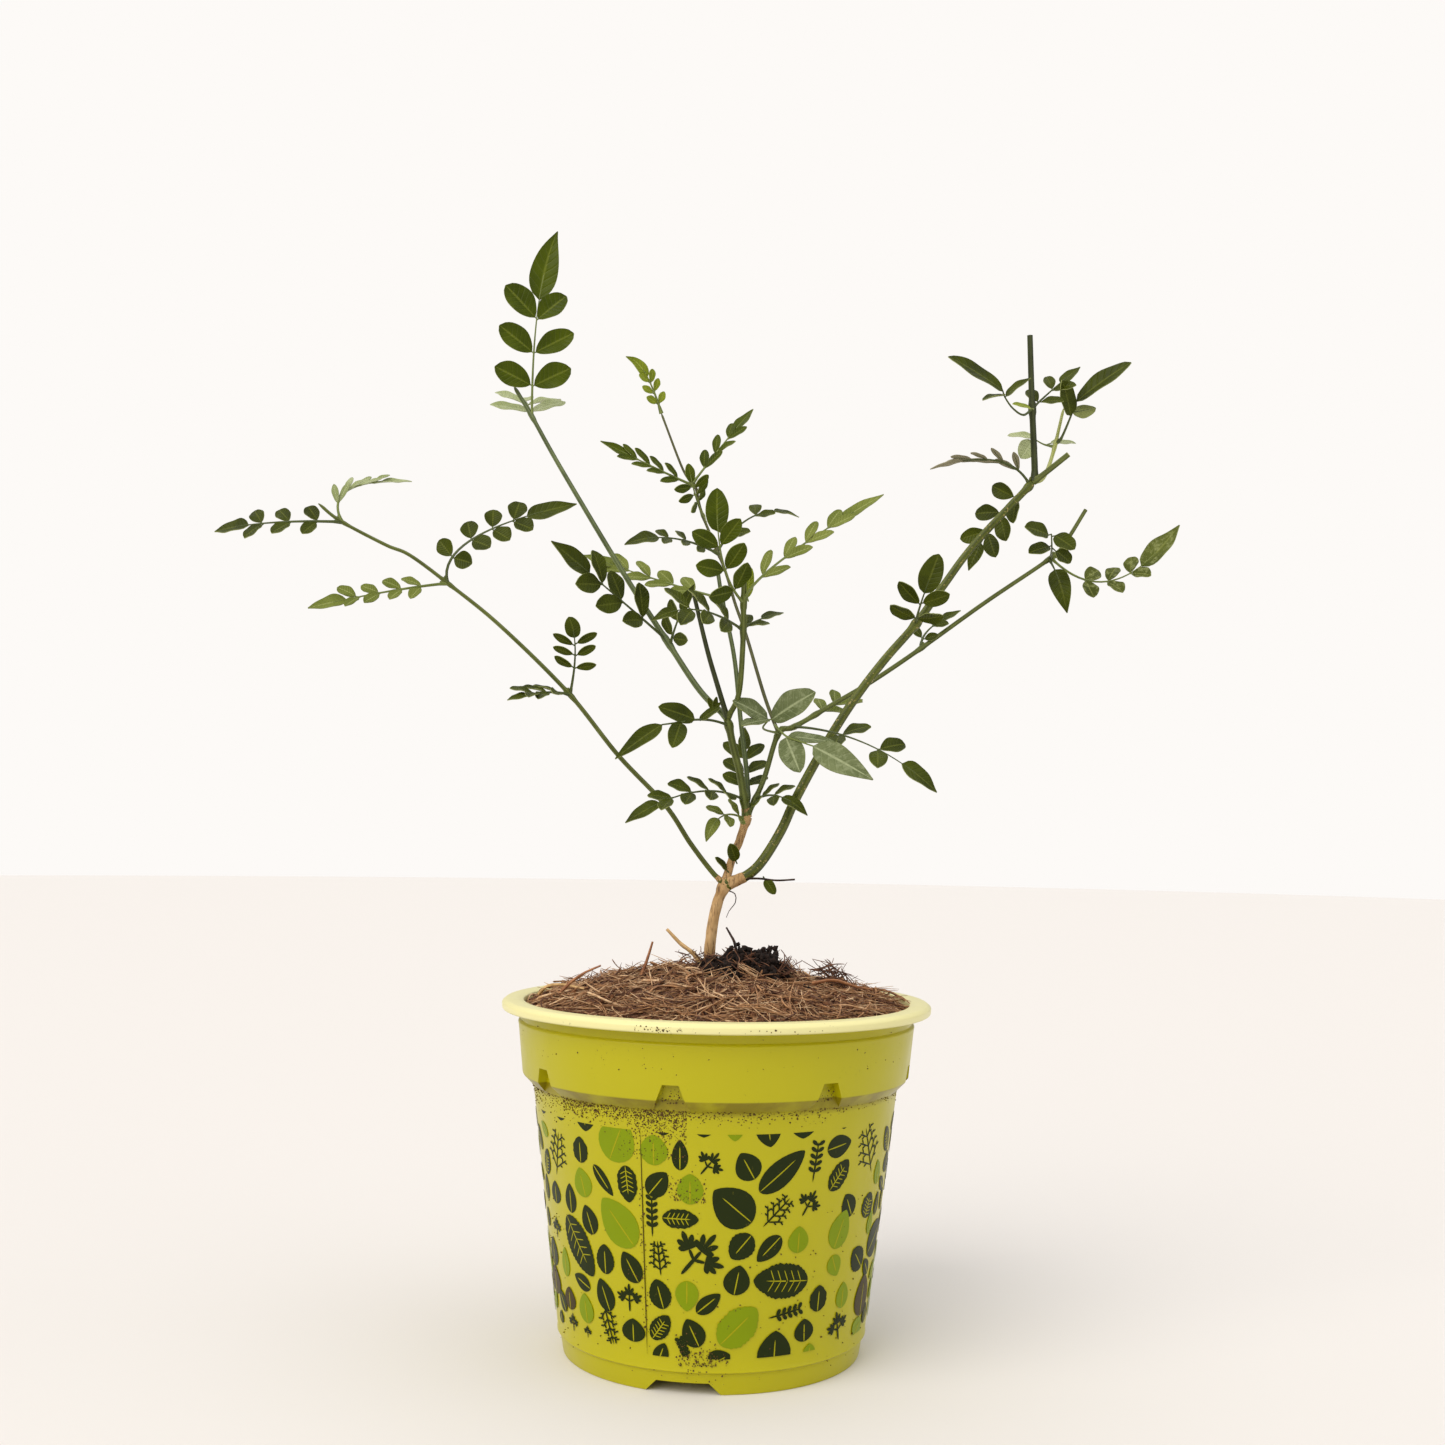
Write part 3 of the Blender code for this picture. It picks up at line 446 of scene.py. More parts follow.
# %% [markdown]
# ## The print
# The pot carries a printed film of herb leaves in three inks, dark green, lime and a little
# brown. An image would be the quick way, but it would blur close up. Each printed leaf is
# instead a very thin sheet cut to its outline and wrapped on the cone, with its veins left pale.
# Half of the print is laid twice round the pot, and the gaps at its sides are filled in.

# %% Ways to cut a leaf from the film
PRINT_LOW, PRINT_HIGH = 11.3, 78.4
INK_LIFT, VEIN_LIFT, INK_THICKNESS = 0.05, 0.09, 0.04


def flat_blade(shape, root, tip, width, widest=0.45, fullness=0.7, teeth=0, bite=0.0, rows=12, cols=4):
    """A flat leaf outline from root to tip, from a grid whose rows follow the leaf's width."""
    along = tip - root
    across = Vector((along.y, -along.x, 0)).normalized()
    power = log(0.5) / log(widest)
    grid = bmesh.ops.create_grid(shape, x_segments=cols, y_segments=rows, size=1)["verts"]
    for vert in grid:
        share = (1 - cos(pi * (vert.co.y + 1) / 2)) / 2
        half = max(0.03, sin(pi * share ** power) ** fullness) * width / 2
        if teeth and abs(vert.co.x) > 0.99:
            half *= 1 - bite * ((share * teeth) % 1.0)
        vert.co = root + along * share + across * half * vert.co.x
    return grid


print("printed leaves are cut from grids")

# %% The herb leaves of the print
def stroke(shape, root, tip, width):
    """A thin line with tapered ends."""
    return flat_blade(shape, root, tip, width, 0.5, 0.3, rows=5, cols=1)


def vein_lines(veins, length, width, pairs):
    """The pale midrib, and pairs of side veins where the leaf has them."""
    made = stroke(veins, Vector((0, -length / 2, 0)), Vector((0, length * 0.28, 0)), 0.38)
    for number in range(pairs):
        low = Vector((0, length * (0.62 * (number + 0.5) / pairs - 0.42), 0))
        for side in (-1, 1):
            out = Vector((side * width * 0.3, length * 0.09, 0))
            made += stroke(veins, low, low + out, 0.28)
    return made


def plain_leaf(ink, veins, length, width):
    blade = flat_blade(ink, Vector((0, -length / 2, 0)), Vector((0, length / 2, 0)), width, 0.42, 0.66)
    return blade, vein_lines(veins, length, width, 0)


def toothed_leaf(ink, veins, length, width, pairs=0):
    teeth = max(6, round(length / 1.3))
    blade = flat_blade(ink, Vector((0, -length / 2, 0)), Vector((0, length / 2, 0)), width * 1.05,
                       0.45, 0.6, teeth, 0.13, 3 * teeth)
    return blade, vein_lines(veins, length, width, pairs)


def veined_leaf(ink, veins, length, width):
    return toothed_leaf(ink, veins, length, width, 5)


def parsley_leaf(ink, veins, length, width):
    """A stalk with three lobes, each of five pointed fingers."""
    heart = Vector((0, -length * 0.16, 0))
    blade = stroke(ink, Vector((0, -length * 0.5, 0)), Vector((0, -length * 0.06, 0)), 0.07 * length)
    for lobe, size in ((-62, 0.9), (0, 1.05), (62, 0.9)):
        foot = heart + Matrix.Rotation(radians(-lobe), 3, "Z") @ Vector((0, length * 0.2, 0))
        blade += stroke(ink, heart, foot, 0.06 * length)
        for finger, reach in ((-64, 0.22), (-32, 0.3), (0, 0.38), (32, 0.3), (64, 0.22)):
            way = Matrix.Rotation(radians(-lobe - finger), 3, "Z") @ Vector((0, 1, 0))
            blade += flat_blade(ink, foot, foot + way * reach * length * size, 0.1 * length,
                                0.66, 0.6, rows=6, cols=2)
    return blade, []


def dill_leaf(ink, veins, length, width):
    """A stalk whose branches fork like coral into short threads with blunt ends."""
    blade = stroke(ink, Vector((0, -length / 2, 0)), Vector((0, length * 0.45, 0)), 0.55)
    for number in range(4):
        low = Vector((0, length * (0.2 * number - 0.34), 0))
        for side in (-1, 1):
            reach = width * (0.52 - 0.08 * number)
            end = low + Vector((side * reach * 0.8, reach * 0.72, 0))
            blade += stroke(ink, low, end, 0.5)
            for share, turn in ((0.35, -42), (0.6, 44), (0.8, -44)):
                fork = low.lerp(end, share)
                way = Matrix.Rotation(radians(side * turn), 3, "Z") @ (end - low).normalized()
                blade += flat_blade(ink, fork, fork + way * 0.11 * length, 0.55, 0.7, 0.35,
                                    rows=4, cols=1)
    return blade, []


def rosemary_leaf(ink, veins, length, width):
    blade = stroke(ink, Vector((0, -length / 2, 0)), Vector((0, length / 2, 0)), 0.6)
    for number in range(5):
        low = Vector((0, length * (number / 6 - 0.25), 0))
        for side in (-1, 1):
            end = low + Vector((side * width * 0.46, length * 0.12, 0))
            blade += flat_blade(ink, low, end, 1.3, 0.6, 0.5, rows=4, cols=2)
    return blade, []


CUTTERS = {"plain": plain_leaf, "toothed": toothed_leaf, "veined": veined_leaf,
           "parsley": parsley_leaf, "dill": dill_leaf, "rosemary": rosemary_leaf}
print("kinds of printed leaf:", ", ".join(CUTTERS))

# %% Lay out the print
# Each leaf: degrees round the pot from the front, height, length, width, and the way its tip
# points in degrees from upright.
PRINT = {
    ("plain", "dark"): (
        (-67, 80, 5, 8, 180), (-54, 80, 5, 8, 180), (-42, 80, 8, 9, 180), (-15, 81, 7, 8, 180),
        (-3, 81, 7, 9, 180), (16, 79, 9, 8, 170), (27, 81, 9, 11, 180), (42, 81, 6, 7, 180),
        (-10, 72, 9, 5, 0), (10, 69, 9, 8, -30), (21, 67, 18, 8, 50), (41, 73, 10, 7, 80),
        (75, 63, 7, 8, 0), (-36, 62, 11, 4, 140), (-17, 63, 9, 7, 40), (6, 57, 15, 12, -50),
        (-62, 54, 7, 7, 0), (-52, 54, 9, 6, 0), (-71, 54, 8, 5, 0), (-43, 49, 9, 7, -20),
        (-70, 34, 9, 8, 0), (-74, 44, 6, 5, 0), (18, 44, 10, 6, -135), (48, 54, 8, 7, -30),
        (71, 40, 14, 11, 55), (-27, 37, 10, 7, -30), (-49, 29, 8, 5, -70), (-38, 27, 10, 7, -20),
        (8, 35, 9, 8, 10), (-1, 28, 9, 5, 50), (-68, 14, 4, 4, 0), (-27, 18, 7, 8, 0),
        (-6, 19, 9, 7, -25), (33, 18, 7, 7, -5), (22, 13, 12, 11, 0), (-17, 12, 7, 5, 20),
        (3, 11, 7, 7, 60),
    ),
    ("plain", "lime"): (
        (-30, 75, 14, 13, 25), (6, 80, 7, 6, 180), (-45, 60, 9, 8, -15), (-31, 50, 17, 12, -40),
        (28, 46, 8, 7, 0), (45, 47, 12, 9, 20), (44, 36, 7, 6, 155), (-59, 33, 9, 5, 0),
        (-8, 30, 9, 7, 180), (50, 26, 8, 6, 0), (-48, 21, 9, 7, -5), (64, 13, 7, 8, 40),
        (36, 11, 5, 5, 0),
    ),
    ("toothed", "lime"): (
        (-18, 73, 9, 9, 0), (-7, 62, 9, 8, 0), (9, 21, 15, 11, 45),
    ),
    ("dill", "dark"): (
        (-58, 67, 15, 13, 15), (56, 70, 17, 14, -25), (20, 55, 12, 9, 45), (-17, 41, 11, 7, -5),
        (-37, 18, 13, 7, 165),
    ),
    ("toothed", "dark"): (
        (-45, 70, 8, 7, 0), (9, 45, 9, 8, -140), (57, 36, 9, 8, -45), (-37, 38, 9, 7, 0),
        (-17, 30, 9, 7, -15), (38, 27, 8, 7, 0),
    ),
    ("parsley", "dark"): (
        (-1, 70, 9, 9, 40), (31, 57, 9, 8, 30), (-64, 43, 7, 7, 0), (-4, 43, 17, 15, 40),
        (-28, 28, 9, 8, 0), (-57, 15, 6, 6, 0), (-48, 14, 4, 4, 0), (49, 17, 10, 9, -15),
    ),
    ("rosemary", "dark"): (
        (32, 69, 12, 5, 5), (-19, 53, 12, 4, 0), (25, 24, 11, 4, 80), (-9, 14, 7, 3, -25),
    ),
    ("veined", "dark"): (
        (-27, 62, 11, 7, 175), (42, 64, 11, 7, 40), (-10, 53, 11, 6, 90), (-49, 40, 20, 11, 145),
        (60, 52, 8, 8, 20), (23, 34, 18, 11, -85), (-17, 20, 9, 6, 35),
    ),
    ("plain", "brown"): (
        (-71, 25, 9, 10, 0), (-58, 22, 7, 7, 0), (65, 23, 13, 11, 0),
    ),
}


WORN_LIME = "#6f6a16"


def wrap(verts, angle, height, tilt, lift):
    """Turns flat leaves by their tilt and wraps them on the pot's wall."""
    for vert in verts:
        spot = Matrix.Rotation(radians(-tilt), 3, "Z") @ vert.co
        radius = wall_radius(height + spot.y) + lift
        turned = radians(angle) + spot.x / radius
        vert.co = (radius * sin(turned), -radius * cos(turned), height + spot.y)


def trim_film(shape):
    """Cuts the sheets off at the film's upper and lower edge, and gives them their thickness."""
    for height, way in ((PRINT_HIGH, 1), (PRINT_LOW, -1)):
        everything = shape.verts[:] + shape.edges[:] + shape.faces[:]
        bmesh.ops.bisect_plane(shape, geom=everything, plane_co=(0, 0, height), plane_no=(0, 0, way),
                               clear_outer=True)
    for face in shape.faces:
        face.normal_update()
        centre = face.calc_center_median()
        if face.normal.dot(Vector((centre.x, centre.y, 0))) < 0:
            face.normal_flip()
    bmesh.ops.solidify(shape, geom=shape.faces[:], thickness=INK_THICKNESS)


def ink(name, code):
    """Printing ink that lies thicker in clouds, and is worn through to the lime in specks."""
    finish, tree = new_finish(name, IOR=1.5, Roughness=0.4, Specular_IOR_Level=0.15)
    where = places(tree)
    wear = between(tree, grain(tree, where, 2.2, 4.0, 0.7), 0.66, 0.76, 0.0, 0.6)
    thick = maths(tree, "MULTIPLY", grain(tree, where, 12.0), 0.18)
    cloud = blend_colours(tree, thick, linear(code), linear(code), "MULTIPLY")
    return connect(finish, Base_Color=blend_colours(tree, wear, cloud, linear(WORN_LIME)))


def fill_sides(seed, tries):
    """More leaves where the two printed halves leave room, near the pot's sides."""
    chance = Random(seed)
    laid = [(angle + half_turn, height, length) for leaves in PRINT.values()
            for angle, height, length, width, tilt in leaves for half_turn in (0, 180)]
    added = {}
    for _ in range(tries):
        angle, height = chance.uniform(62, 118), chance.uniform(PRINT_LOW + 3, PRINT_HIGH - 3)
        length = chance.uniform(6.5, 10.0)

        def gap(other, high, long):
            aside = ((other - angle + 180) % 360 - 180) * MM_IN_A_DEGREE
            return sqrt(aside ** 2 + (high - height) ** 2) - 0.4 * (long + length)

        if min(gap(*leaf) for leaf in laid) < LEAST_GAP:
            continue
        kind = chance.choice(SIDE_KINDS)
        added.setdefault(kind, []).append((angle, height, length, length * chance.uniform(0.5, 0.7),
                                           chance.uniform(-60, 60)))
        laid += [(angle, height, length), (angle + 180, height, length)]
    return added


SIDE_KINDS = (("plain", "dark"), ("toothed", "dark"), ("veined", "dark"), ("plain", "lime"))
MM_IN_A_DEGREE, LEAST_GAP = radians(1) * (WALL_TOP_RADIUS - 3), 0.7
SIDE_PRINT = fill_sides(12, 4000)
SEAMS, SEAM_WIDTH, LEAF_STEP = (-22, 158), 0.3, 0.0004
sheets = {name: bmesh.new() for name in ("dark", "lime", "brown", "vein")}
printed = 0
for (kind, colour), leaves in list(PRINT.items()) + list(SIDE_PRINT.items()):
    for angle, height, length, width, tilt in leaves:
        for half_turn in (0, 180):
            blade, veins = CUTTERS[kind](sheets[colour], sheets["vein"], length, width)
            wrap(blade, angle + half_turn, height, tilt, INK_LIFT + LEAF_STEP * printed)
            wrap(veins, angle + half_turn, height, tilt, VEIN_LIFT + LEAF_STEP * printed)
            printed += 1
# The printed film meets in a seam: a fine dark line down the wall, in front and behind.
half_seam = Vector((0, (PRINT_HIGH - PRINT_LOW) / 2, 0))
for angle in SEAMS:
    line = stroke(sheets["brown"], -half_seam, half_seam, SEAM_WIDTH)
    wrap(line, angle, (PRINT_LOW + PRINT_HIGH) / 2, 0, INK_LIFT + LEAF_STEP * printed)
INKS = {"dark": "#202a02", "lime": "#809200", "brown": "#40340c", "vein": "#a49e0c"}
for name, shape in sheets.items():
    trim_film(shape)
    piece = keep(shape, "print_" + name, [ink("printed_film_" + name, INKS[name])])
    print("print_" + name, len(piece.data.polygons), "faces")
print("printed leaves:", printed)

# %% [markdown]
# ## Soil and coir mulch
# Under the mulch the pot is full of soil, which no one sees, so its solid stays as it is and only
# gets a crumbly finish. The mulch is a dome of coir: coconut husk fibres, each a sixth of a
# millimetre to one millimetre thick, over brown pith. The dome is a turned shape that noise
# lifts and sinks. Modelling each fibre by itself would take too long. Instead, thousands of
# them are copies of a few bent ones, each turned its own way.

# %% Soil
def crumb_finish(name, dark, light, size_mm, depth_mm):
    finish, tree = new_finish(name, Roughness=0.95, IOR=1.4)
    lumps = grain(tree, places(tree), size_mm, 5.0, 0.65)
    colour = blend_colours(tree, between(tree, lumps, 0.35, 0.68), linear(dark), linear(light))
    return connect(finish, Base_Color=colour, Normal=relief(tree, lumps, depth_mm))


soil_finish = crumb_finish("moist_potting_soil", "#1c120b", "#4a3222", 3.0, 1.0)
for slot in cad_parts["potting_soil"].material_slots:
    slot.material = soil_finish
print("potting_soil keeps its solid")

# %% The mulch's dome
mulch_low, mulch_high = box_mm("coir_mulch")
MULCH_RADIUS, MULCH_TOP, MULCH_BOTTOM = mulch_high.x, mulch_high.z, mulch_low.z
MULCH_DOME = 11.0
MULCH_EDGE = MULCH_TOP - MULCH_DOME
TRUNK_PLACE = Vector((-2.5, 1.0))


def mulch_height(x, y):
    """The dome, with lumps that fade at the edge and at the trunk."""
    radius = sqrt(x * x + y * y)
    share = min(1.0, radius / MULCH_RADIUS)
    lumps = 2.6 * noise.noise(Vector((x, y, 3)) / 10.0) + 1.0 * noise.noise(Vector((x, y, 7)) / 3.5)
    lumps *= smooth_step(MULCH_RADIUS - radius, 0, 9)
    lumps *= smooth_step((Vector((x, y)) - TRUNK_PLACE).length, 1, 7)
    return MULCH_EDGE - 1.6 + MULCH_DOME * (1 - share ** 2) + lumps


DOME_STEPS, DOME_RINGS = 180, 44
dome = bmesh.new()
slope = [Vector((MULCH_RADIUS * n / DOME_RINGS, 0, MULCH_TOP)) for n in range(DOME_RINGS + 1)]
slope += [Vector((MULCH_RADIUS - 0.4, 0, MULCH_BOTTOM)), Vector((0, 0, MULCH_BOTTOM))]
line = [dome.verts.new(point) for point in slope]
edges = [dome.edges.new(pair) for pair in zip(line, line[1:])]
bmesh.ops.spin(dome, geom=line + edges, axis=(0, 0, 1), cent=(0, 0, 0), steps=DOME_STEPS, angle=2 * pi,
               use_merge=True)
bmesh.ops.remove_doubles(dome, verts=dome.verts, dist=0.01)
for vert in dome.verts:
    if vert.co.z > MULCH_BOTTOM + 1:
        vert.co.z = mulch_height(vert.co.x, vert.co.y)
bmesh.ops.recalc_face_normals(dome, faces=dome.faces)
pith = crumb_finish("matted_coir_pith", "#2c1810", "#7f5236", 1.6, 0.9)
keep(dome, "coir_pith", [pith], ["coir_mulch"], radians(180))
print("coir_pith: a dome", MULCH_DOME, "mm high")

# %% Points along a path
def smooth_path(points, spacing):
    """Points about this far apart on a smooth curve through the given ones."""
    given = [2 * points[0] - points[1]] + points + [2 * points[-1] - points[-2]]
    path = [points[0]]
    for before, start, end, after in zip(given, given[1:], given[2:], given[3:]):
        pieces = max(1, round((end - start).length / spacing))
        for number in range(1, pieces + 1):
            t = number / pieces
            path.append(0.5 * (2 * start + (end - before) * t
                               + (2 * before - 5 * start + 4 * end - after) * t ** 2
                               + (3 * start - before - 3 * end + after) * t ** 3))
    return path


print("paths are smoothed by smooth_path()")

# %% Tubes along a path
def sweep(shape, path, radii, sides=8, ridges=0, ridge=0.0, mark=0, uv=None):
    """A closed tube: a capped circle, extruded from point to point. Ridges run along it."""
    bmesh.ops.create_circle(shape, cap_ends=True, segments=sides, radius=1)
    shape.faces.ensure_lookup_table()
    first = cap = shape.faces[-1]
    ahead = (path[1] - path[0]).normalized()
    side = ahead.orthogonal().normalized()
    travelled, spots, made = 0.0, {}, [cap]
    for number, (centre, radius) in enumerate(zip(path, radii)):
        if number:
            travelled += (centre - path[number - 1]).length
            pulled = bmesh.ops.extrude_face_region(shape, geom=[cap])["geom"]
            top = next(g for g in pulled if isinstance(g, bmesh.types.BMFace))
            if cap is not first:
                made.remove(cap)
                bmesh.ops.delete(shape, geom=[cap], context="FACES_ONLY")
            cap = top
            made += [face for edge in cap.edges for face in edge.link_faces if face is not cap] + [cap]
            after = path[min(number + 1, len(path) - 1)]
            ahead = (after - path[number - 1]).normalized()
            side = (side - ahead * side.dot(ahead)).normalized()
        other = ahead.cross(side)
        for place, vert in enumerate(cap.verts):
            angle = 2 * pi * place / sides
            reach = radius * (1 + ridge * cos(ridges * angle))
            vert.co = centre + (side * cos(angle) + other * sin(angle)) * reach
            spots[vert] = (place / sides, travelled)
    for face in made:
        face.material_index = mark
        if uv:
            round_it = max(spots[vert][0] for vert in face.verts) > 0.6
            for loop in face.loops:
                around, along = spots[loop.vert]
                loop[uv].uv = (around + (1 if round_it and around == 0 else 0), along)
    return made


def wander(chance, start, way, pieces, bend):
    """A path of length 1 that bends a little at each step."""
    def any_way():
        return Vector((chance.uniform(-1, 1), chance.uniform(-1, 1), chance.uniform(-1, 1)))

    path, turn = [start], any_way()
    for _ in range(pieces):
        way = (way + turn * bend / pieces).normalized()
        turn += any_way() * 0.7
        path.append(path[-1] + way / pieces)
    return path


print("tubes are made by sweep()")

# %% Fibres and crumbs to copy
def template(shape):
    bmesh.ops.recalc_face_normals(shape, faces=shape.faces)
    mesh = bpy.data.meshes.new("template")
    shape.to_mesh(mesh)
    shape.free()
    return mesh


FIBRE_SIDES, FIBRE_PIECES, FIBRE_BEND, FIBRE_RADIUS = 3, 7, 1.5, 0.02
CURL_ASIDE, CURL_UP, END_TAPER = 1.9, 0.3, 0.45


def fibre_template(seed, mark):
    """A bent fibre of length 1, which is stretched as it is laid down."""
    shape = bmesh.new()
    path = wander(Random(seed), Vector((-0.5, 0, 0)), Vector((1, 0, 0)), FIBRE_PIECES, FIBRE_BEND)
    start, gap = path[0].copy(), path[-1] - path[0]
    # The ends come back to the x axis, so that a fibre stays where it is laid however it curls.
    for number, point in enumerate(path):
        share = number / FIBRE_PIECES
        aside = point - start - gap * share
        path[number] = Vector((share - 0.5 + aside.x, aside.y * CURL_ASIDE, aside.z * CURL_UP))
    radii = [FIBRE_RADIUS] * len(path)
    radii[0] = radii[-1] = FIBRE_RADIUS * END_TAPER
    sweep(shape, path, radii, FIBRE_SIDES, mark=mark)
    return template(shape)


def crumb_template(seed):
    chance = Random(seed)
    shape = bmesh.new()
    bmesh.ops.create_icosphere(shape, subdivisions=1, radius=1)
    for vert in shape.verts:
        vert.co *= chance.uniform(0.6, 1.3)
    return template(shape)


def strew(name, templates, spots, finishes, solids=()):
    """One piece of many copies: each spot says which template, and the matrix that lays it."""
    shape = bmesh.new()
    for which, matrix in spots:
        copy = templates[which].copy()
        copy.transform(matrix)
        shape.from_mesh(copy)
        bpy.data.meshes.remove(copy)
    piece = keep(shape, name, finishes, solids, radians(180))
    print(name, len(spots), "copies,", len(piece.data.polygons), "faces")


FIBRE_SHAPES, CRUMB_SHAPES, TONES = 8, 6, 3
fibres = [fibre_template(10 * tone + kind, tone)
          for tone in range(TONES) for kind in range(FIBRE_SHAPES)]
crumbs = [crumb_template(100 + kind) for kind in range(CRUMB_SHAPES)]
print(len(fibres), "fibres and", len(crumbs), "crumbs to copy")

# %% Coir finishes
def fibre_finish(name, dark, light, size_mm=2.0):
    """Husk fibre: dull, with a lighter and a darker stretch every few millimetres."""
    finish, tree = new_finish(name, Roughness=0.7, IOR=1.45)
    stretch = between(tree, grain(tree, places(tree), size_mm, 2.0), 0.32, 0.68)
    return connect(finish, Base_Color=blend_colours(tree, stretch, linear(dark), linear(light)))


coir_tones = [fibre_finish("coir_fibre_mid", "#80583a", "#bf8f62"),
              fibre_finish("coir_fibre_light", "#b98c62", "#e8c69c"),
              fibre_finish("coir_fibre_dark", "#452a1c", "#7c5238")]
peat_tone = crumb_finish("moist_black_peat", "#0b0705", "#2b1a11", 1.2, 0.4)
print("three tones of coir, and peat")

# %% Lay the fibres on the dome
def lay(chance, x, y, heading, rise, length, thickness, lift):
    """The matrix that lays a fibre on the mulch, along a heading, with its far end raised."""
    spot = Vector((x, y, mulch_height(x, y) + lift))
    ahead = Vector((cos(heading), sin(heading), 0))
    step = 2.0
    slope_here = (mulch_height(x + ahead.x * step, y + ahead.y * step)
                  - mulch_height(x - ahead.x * step, y - ahead.y * step)) / (2 * step)
    ahead = (ahead + Vector((0, 0, slope_here + rise))).normalized()
    turn = ahead.to_track_quat("X", "Z").to_matrix().to_4x4()
    roll = Matrix.Rotation(chance.uniform(-0.5, 0.5), 4, "X")
    stretch = thickness / (2 * FIBRE_RADIUS)
    size = Matrix.Diagonal((length, stretch, stretch, 1))
    return Matrix.Translation(spot) @ turn @ roll @ size


def fibre_spots(seed, count, shares, thick, long, up, lift, bunch=1):
    """Spots spread evenly over the dome, in bunches that run the same way, kept inside the lip."""
    chance = Random(seed)
    spots = []
    while len(spots) < count:
        radius, angle = (MULCH_RADIUS - 0.5) * sqrt(chance.random()), chance.uniform(0, 2 * pi)
        middle, run = Vector((radius * cos(angle), radius * sin(angle))), chance.uniform(0, 2 * pi)
        for _ in range(chance.randint(1, bunch)):
            x, y = middle.x + chance.gauss(0, 1.2), middle.y + chance.gauss(0, 1.2)
            length, heading = chance.uniform(*long), run + chance.gauss(0, 0.22)
            rise = chance.gauss(0.0, 0.05) if chance.random() > up else chance.uniform(0.2, 0.85)
            ahead = Vector((cos(heading), sin(heading))) * length * 0.5
            here = Vector((x, y))
            if max((here + ahead).length, (here - ahead).length) > MULCH_RADIUS + 2.6:
                continue
            tone = chance.choices(range(TONES), shares)[0]
            matrix = lay(chance, x, y, heading, rise, length,
                         chance.uniform(*thick), chance.uniform(*lift))
            spots.append((tone * FIBRE_SHAPES + chance.randrange(FIBRE_SHAPES), matrix))
    return spots


def tumble(chance):
    return Matrix.Rotation(chance.uniform(0, pi), 4, Vector((chance.random(), 1, chance.random())))


def crumb_spots(seed, count, size):
    """Crumbs of coir pith among the fibres."""
    chance = Random(seed)
    spots = []
    for _ in range(count):
        radius, angle = (MULCH_RADIUS - 1.5) * sqrt(chance.random()), chance.uniform(0, 2 * pi)
        x, y = radius * cos(angle), radius * sin(angle)
        place = Matrix.Translation((x, y, mulch_height(x, y) + 0.5)) @ tumble(chance)
        flat = Matrix.Diagonal((1.0, chance.uniform(0.5, 1.0), chance.uniform(0.35, 0.8), 1))
        which = chance.randrange(CRUMB_SHAPES)
        spots.append((which, place @ flat @ Matrix.Scale(chance.uniform(*size), 4)))
    return spots


# A seed and a number of fibres, the shares of the three tones, the thinnest and thickest, the
# shortest and longest, the share that stands up, the lift off the dome, and the most in a bunch.
low_layer = fibre_spots(1, 2500, (3, 1, 6), (0.3, 0.65), (7, 18), 0.0, (-0.4, 0.2))
top_layer = fibre_spots(2, 2900, (5, 4, 1), (0.18, 0.4), (9, 26), 0.01, (0.0, 0.8), 6)
straps = fibre_spots(6, 230, (3, 6, 1), (0.6, 1.0), (7, 18), 0.01, (0.1, 0.9), 2)
strays = fibre_spots(5, 150, (3, 2, 3), (0.16, 0.34), (6, 13), 0.75, (0.4, 1.3))
coir_crumb = crumb_finish("coir_crumb", "#402616", "#8a5c3c", 1.0, 0.3)
strew("coir_crumbs", crumbs, crumb_spots(7, 900, (0.5, 1.7)), [coir_crumb])
strew("coir_fibres_below", fibres, low_layer, coir_tones)
strew("coir_fibres_on_top", fibres, top_layer + straps + strays, coir_tones)

# %% [markdown]
# ## Peat, sticks and the dry twig
# Beside the trunk sits a clump of black peat from the plant's first small pot, full of dead
# roots. One smooth lump could show crumbs only as bump, which has no outline. So it is a heap
# of crumbs with dark fibres in it. A dry twig, broken sticks and strips of husk stand up out of
# the mulch: short tubes, each along a bent path.

# %% The peat clump
peat_low, peat_high = box_mm("peat_clump")
PEAT_CENTRE = (peat_low + peat_high) / 2
PEAT_REACH = (peat_high - peat_low) / 2
PEAT_SPREAD = Matrix.Diagonal((1.3 * PEAT_REACH.x, 1.3 * PEAT_REACH.y, 2.2 * PEAT_REACH.z))
STRAY_PLACE = (38, -4)


def heap_spots(seed, count, size):
    """Crumbs heaped in a half ellipsoid, most of them near its surface."""
    chance = Random(seed)
    spots = []
    for _ in range(count):
        way = Vector((chance.gauss(0, 1), chance.gauss(0, 1), abs(chance.gauss(0, 0.9)))).normalized()
        out = chance.uniform(0.4, 1.0) * (0.95 + 0.4 * noise.noise(way * 1.9))
        spot = PEAT_SPREAD @ way * out + Vector((PEAT_CENTRE.x, PEAT_CENTRE.y, peat_low.z - 1.0))
        spot.z = max(spot.z, mulch_height(spot.x, spot.y) + 0.2)
        turn = Matrix.Rotation(chance.uniform(0, pi), 4, Vector((chance.random(), chance.random(), 1)))
        place = Matrix.Translation(spot) @ turn @ Matrix.Scale(chance.uniform(*size), 4)
        spots.append((chance.randrange(CRUMB_SHAPES), place))
    return spots


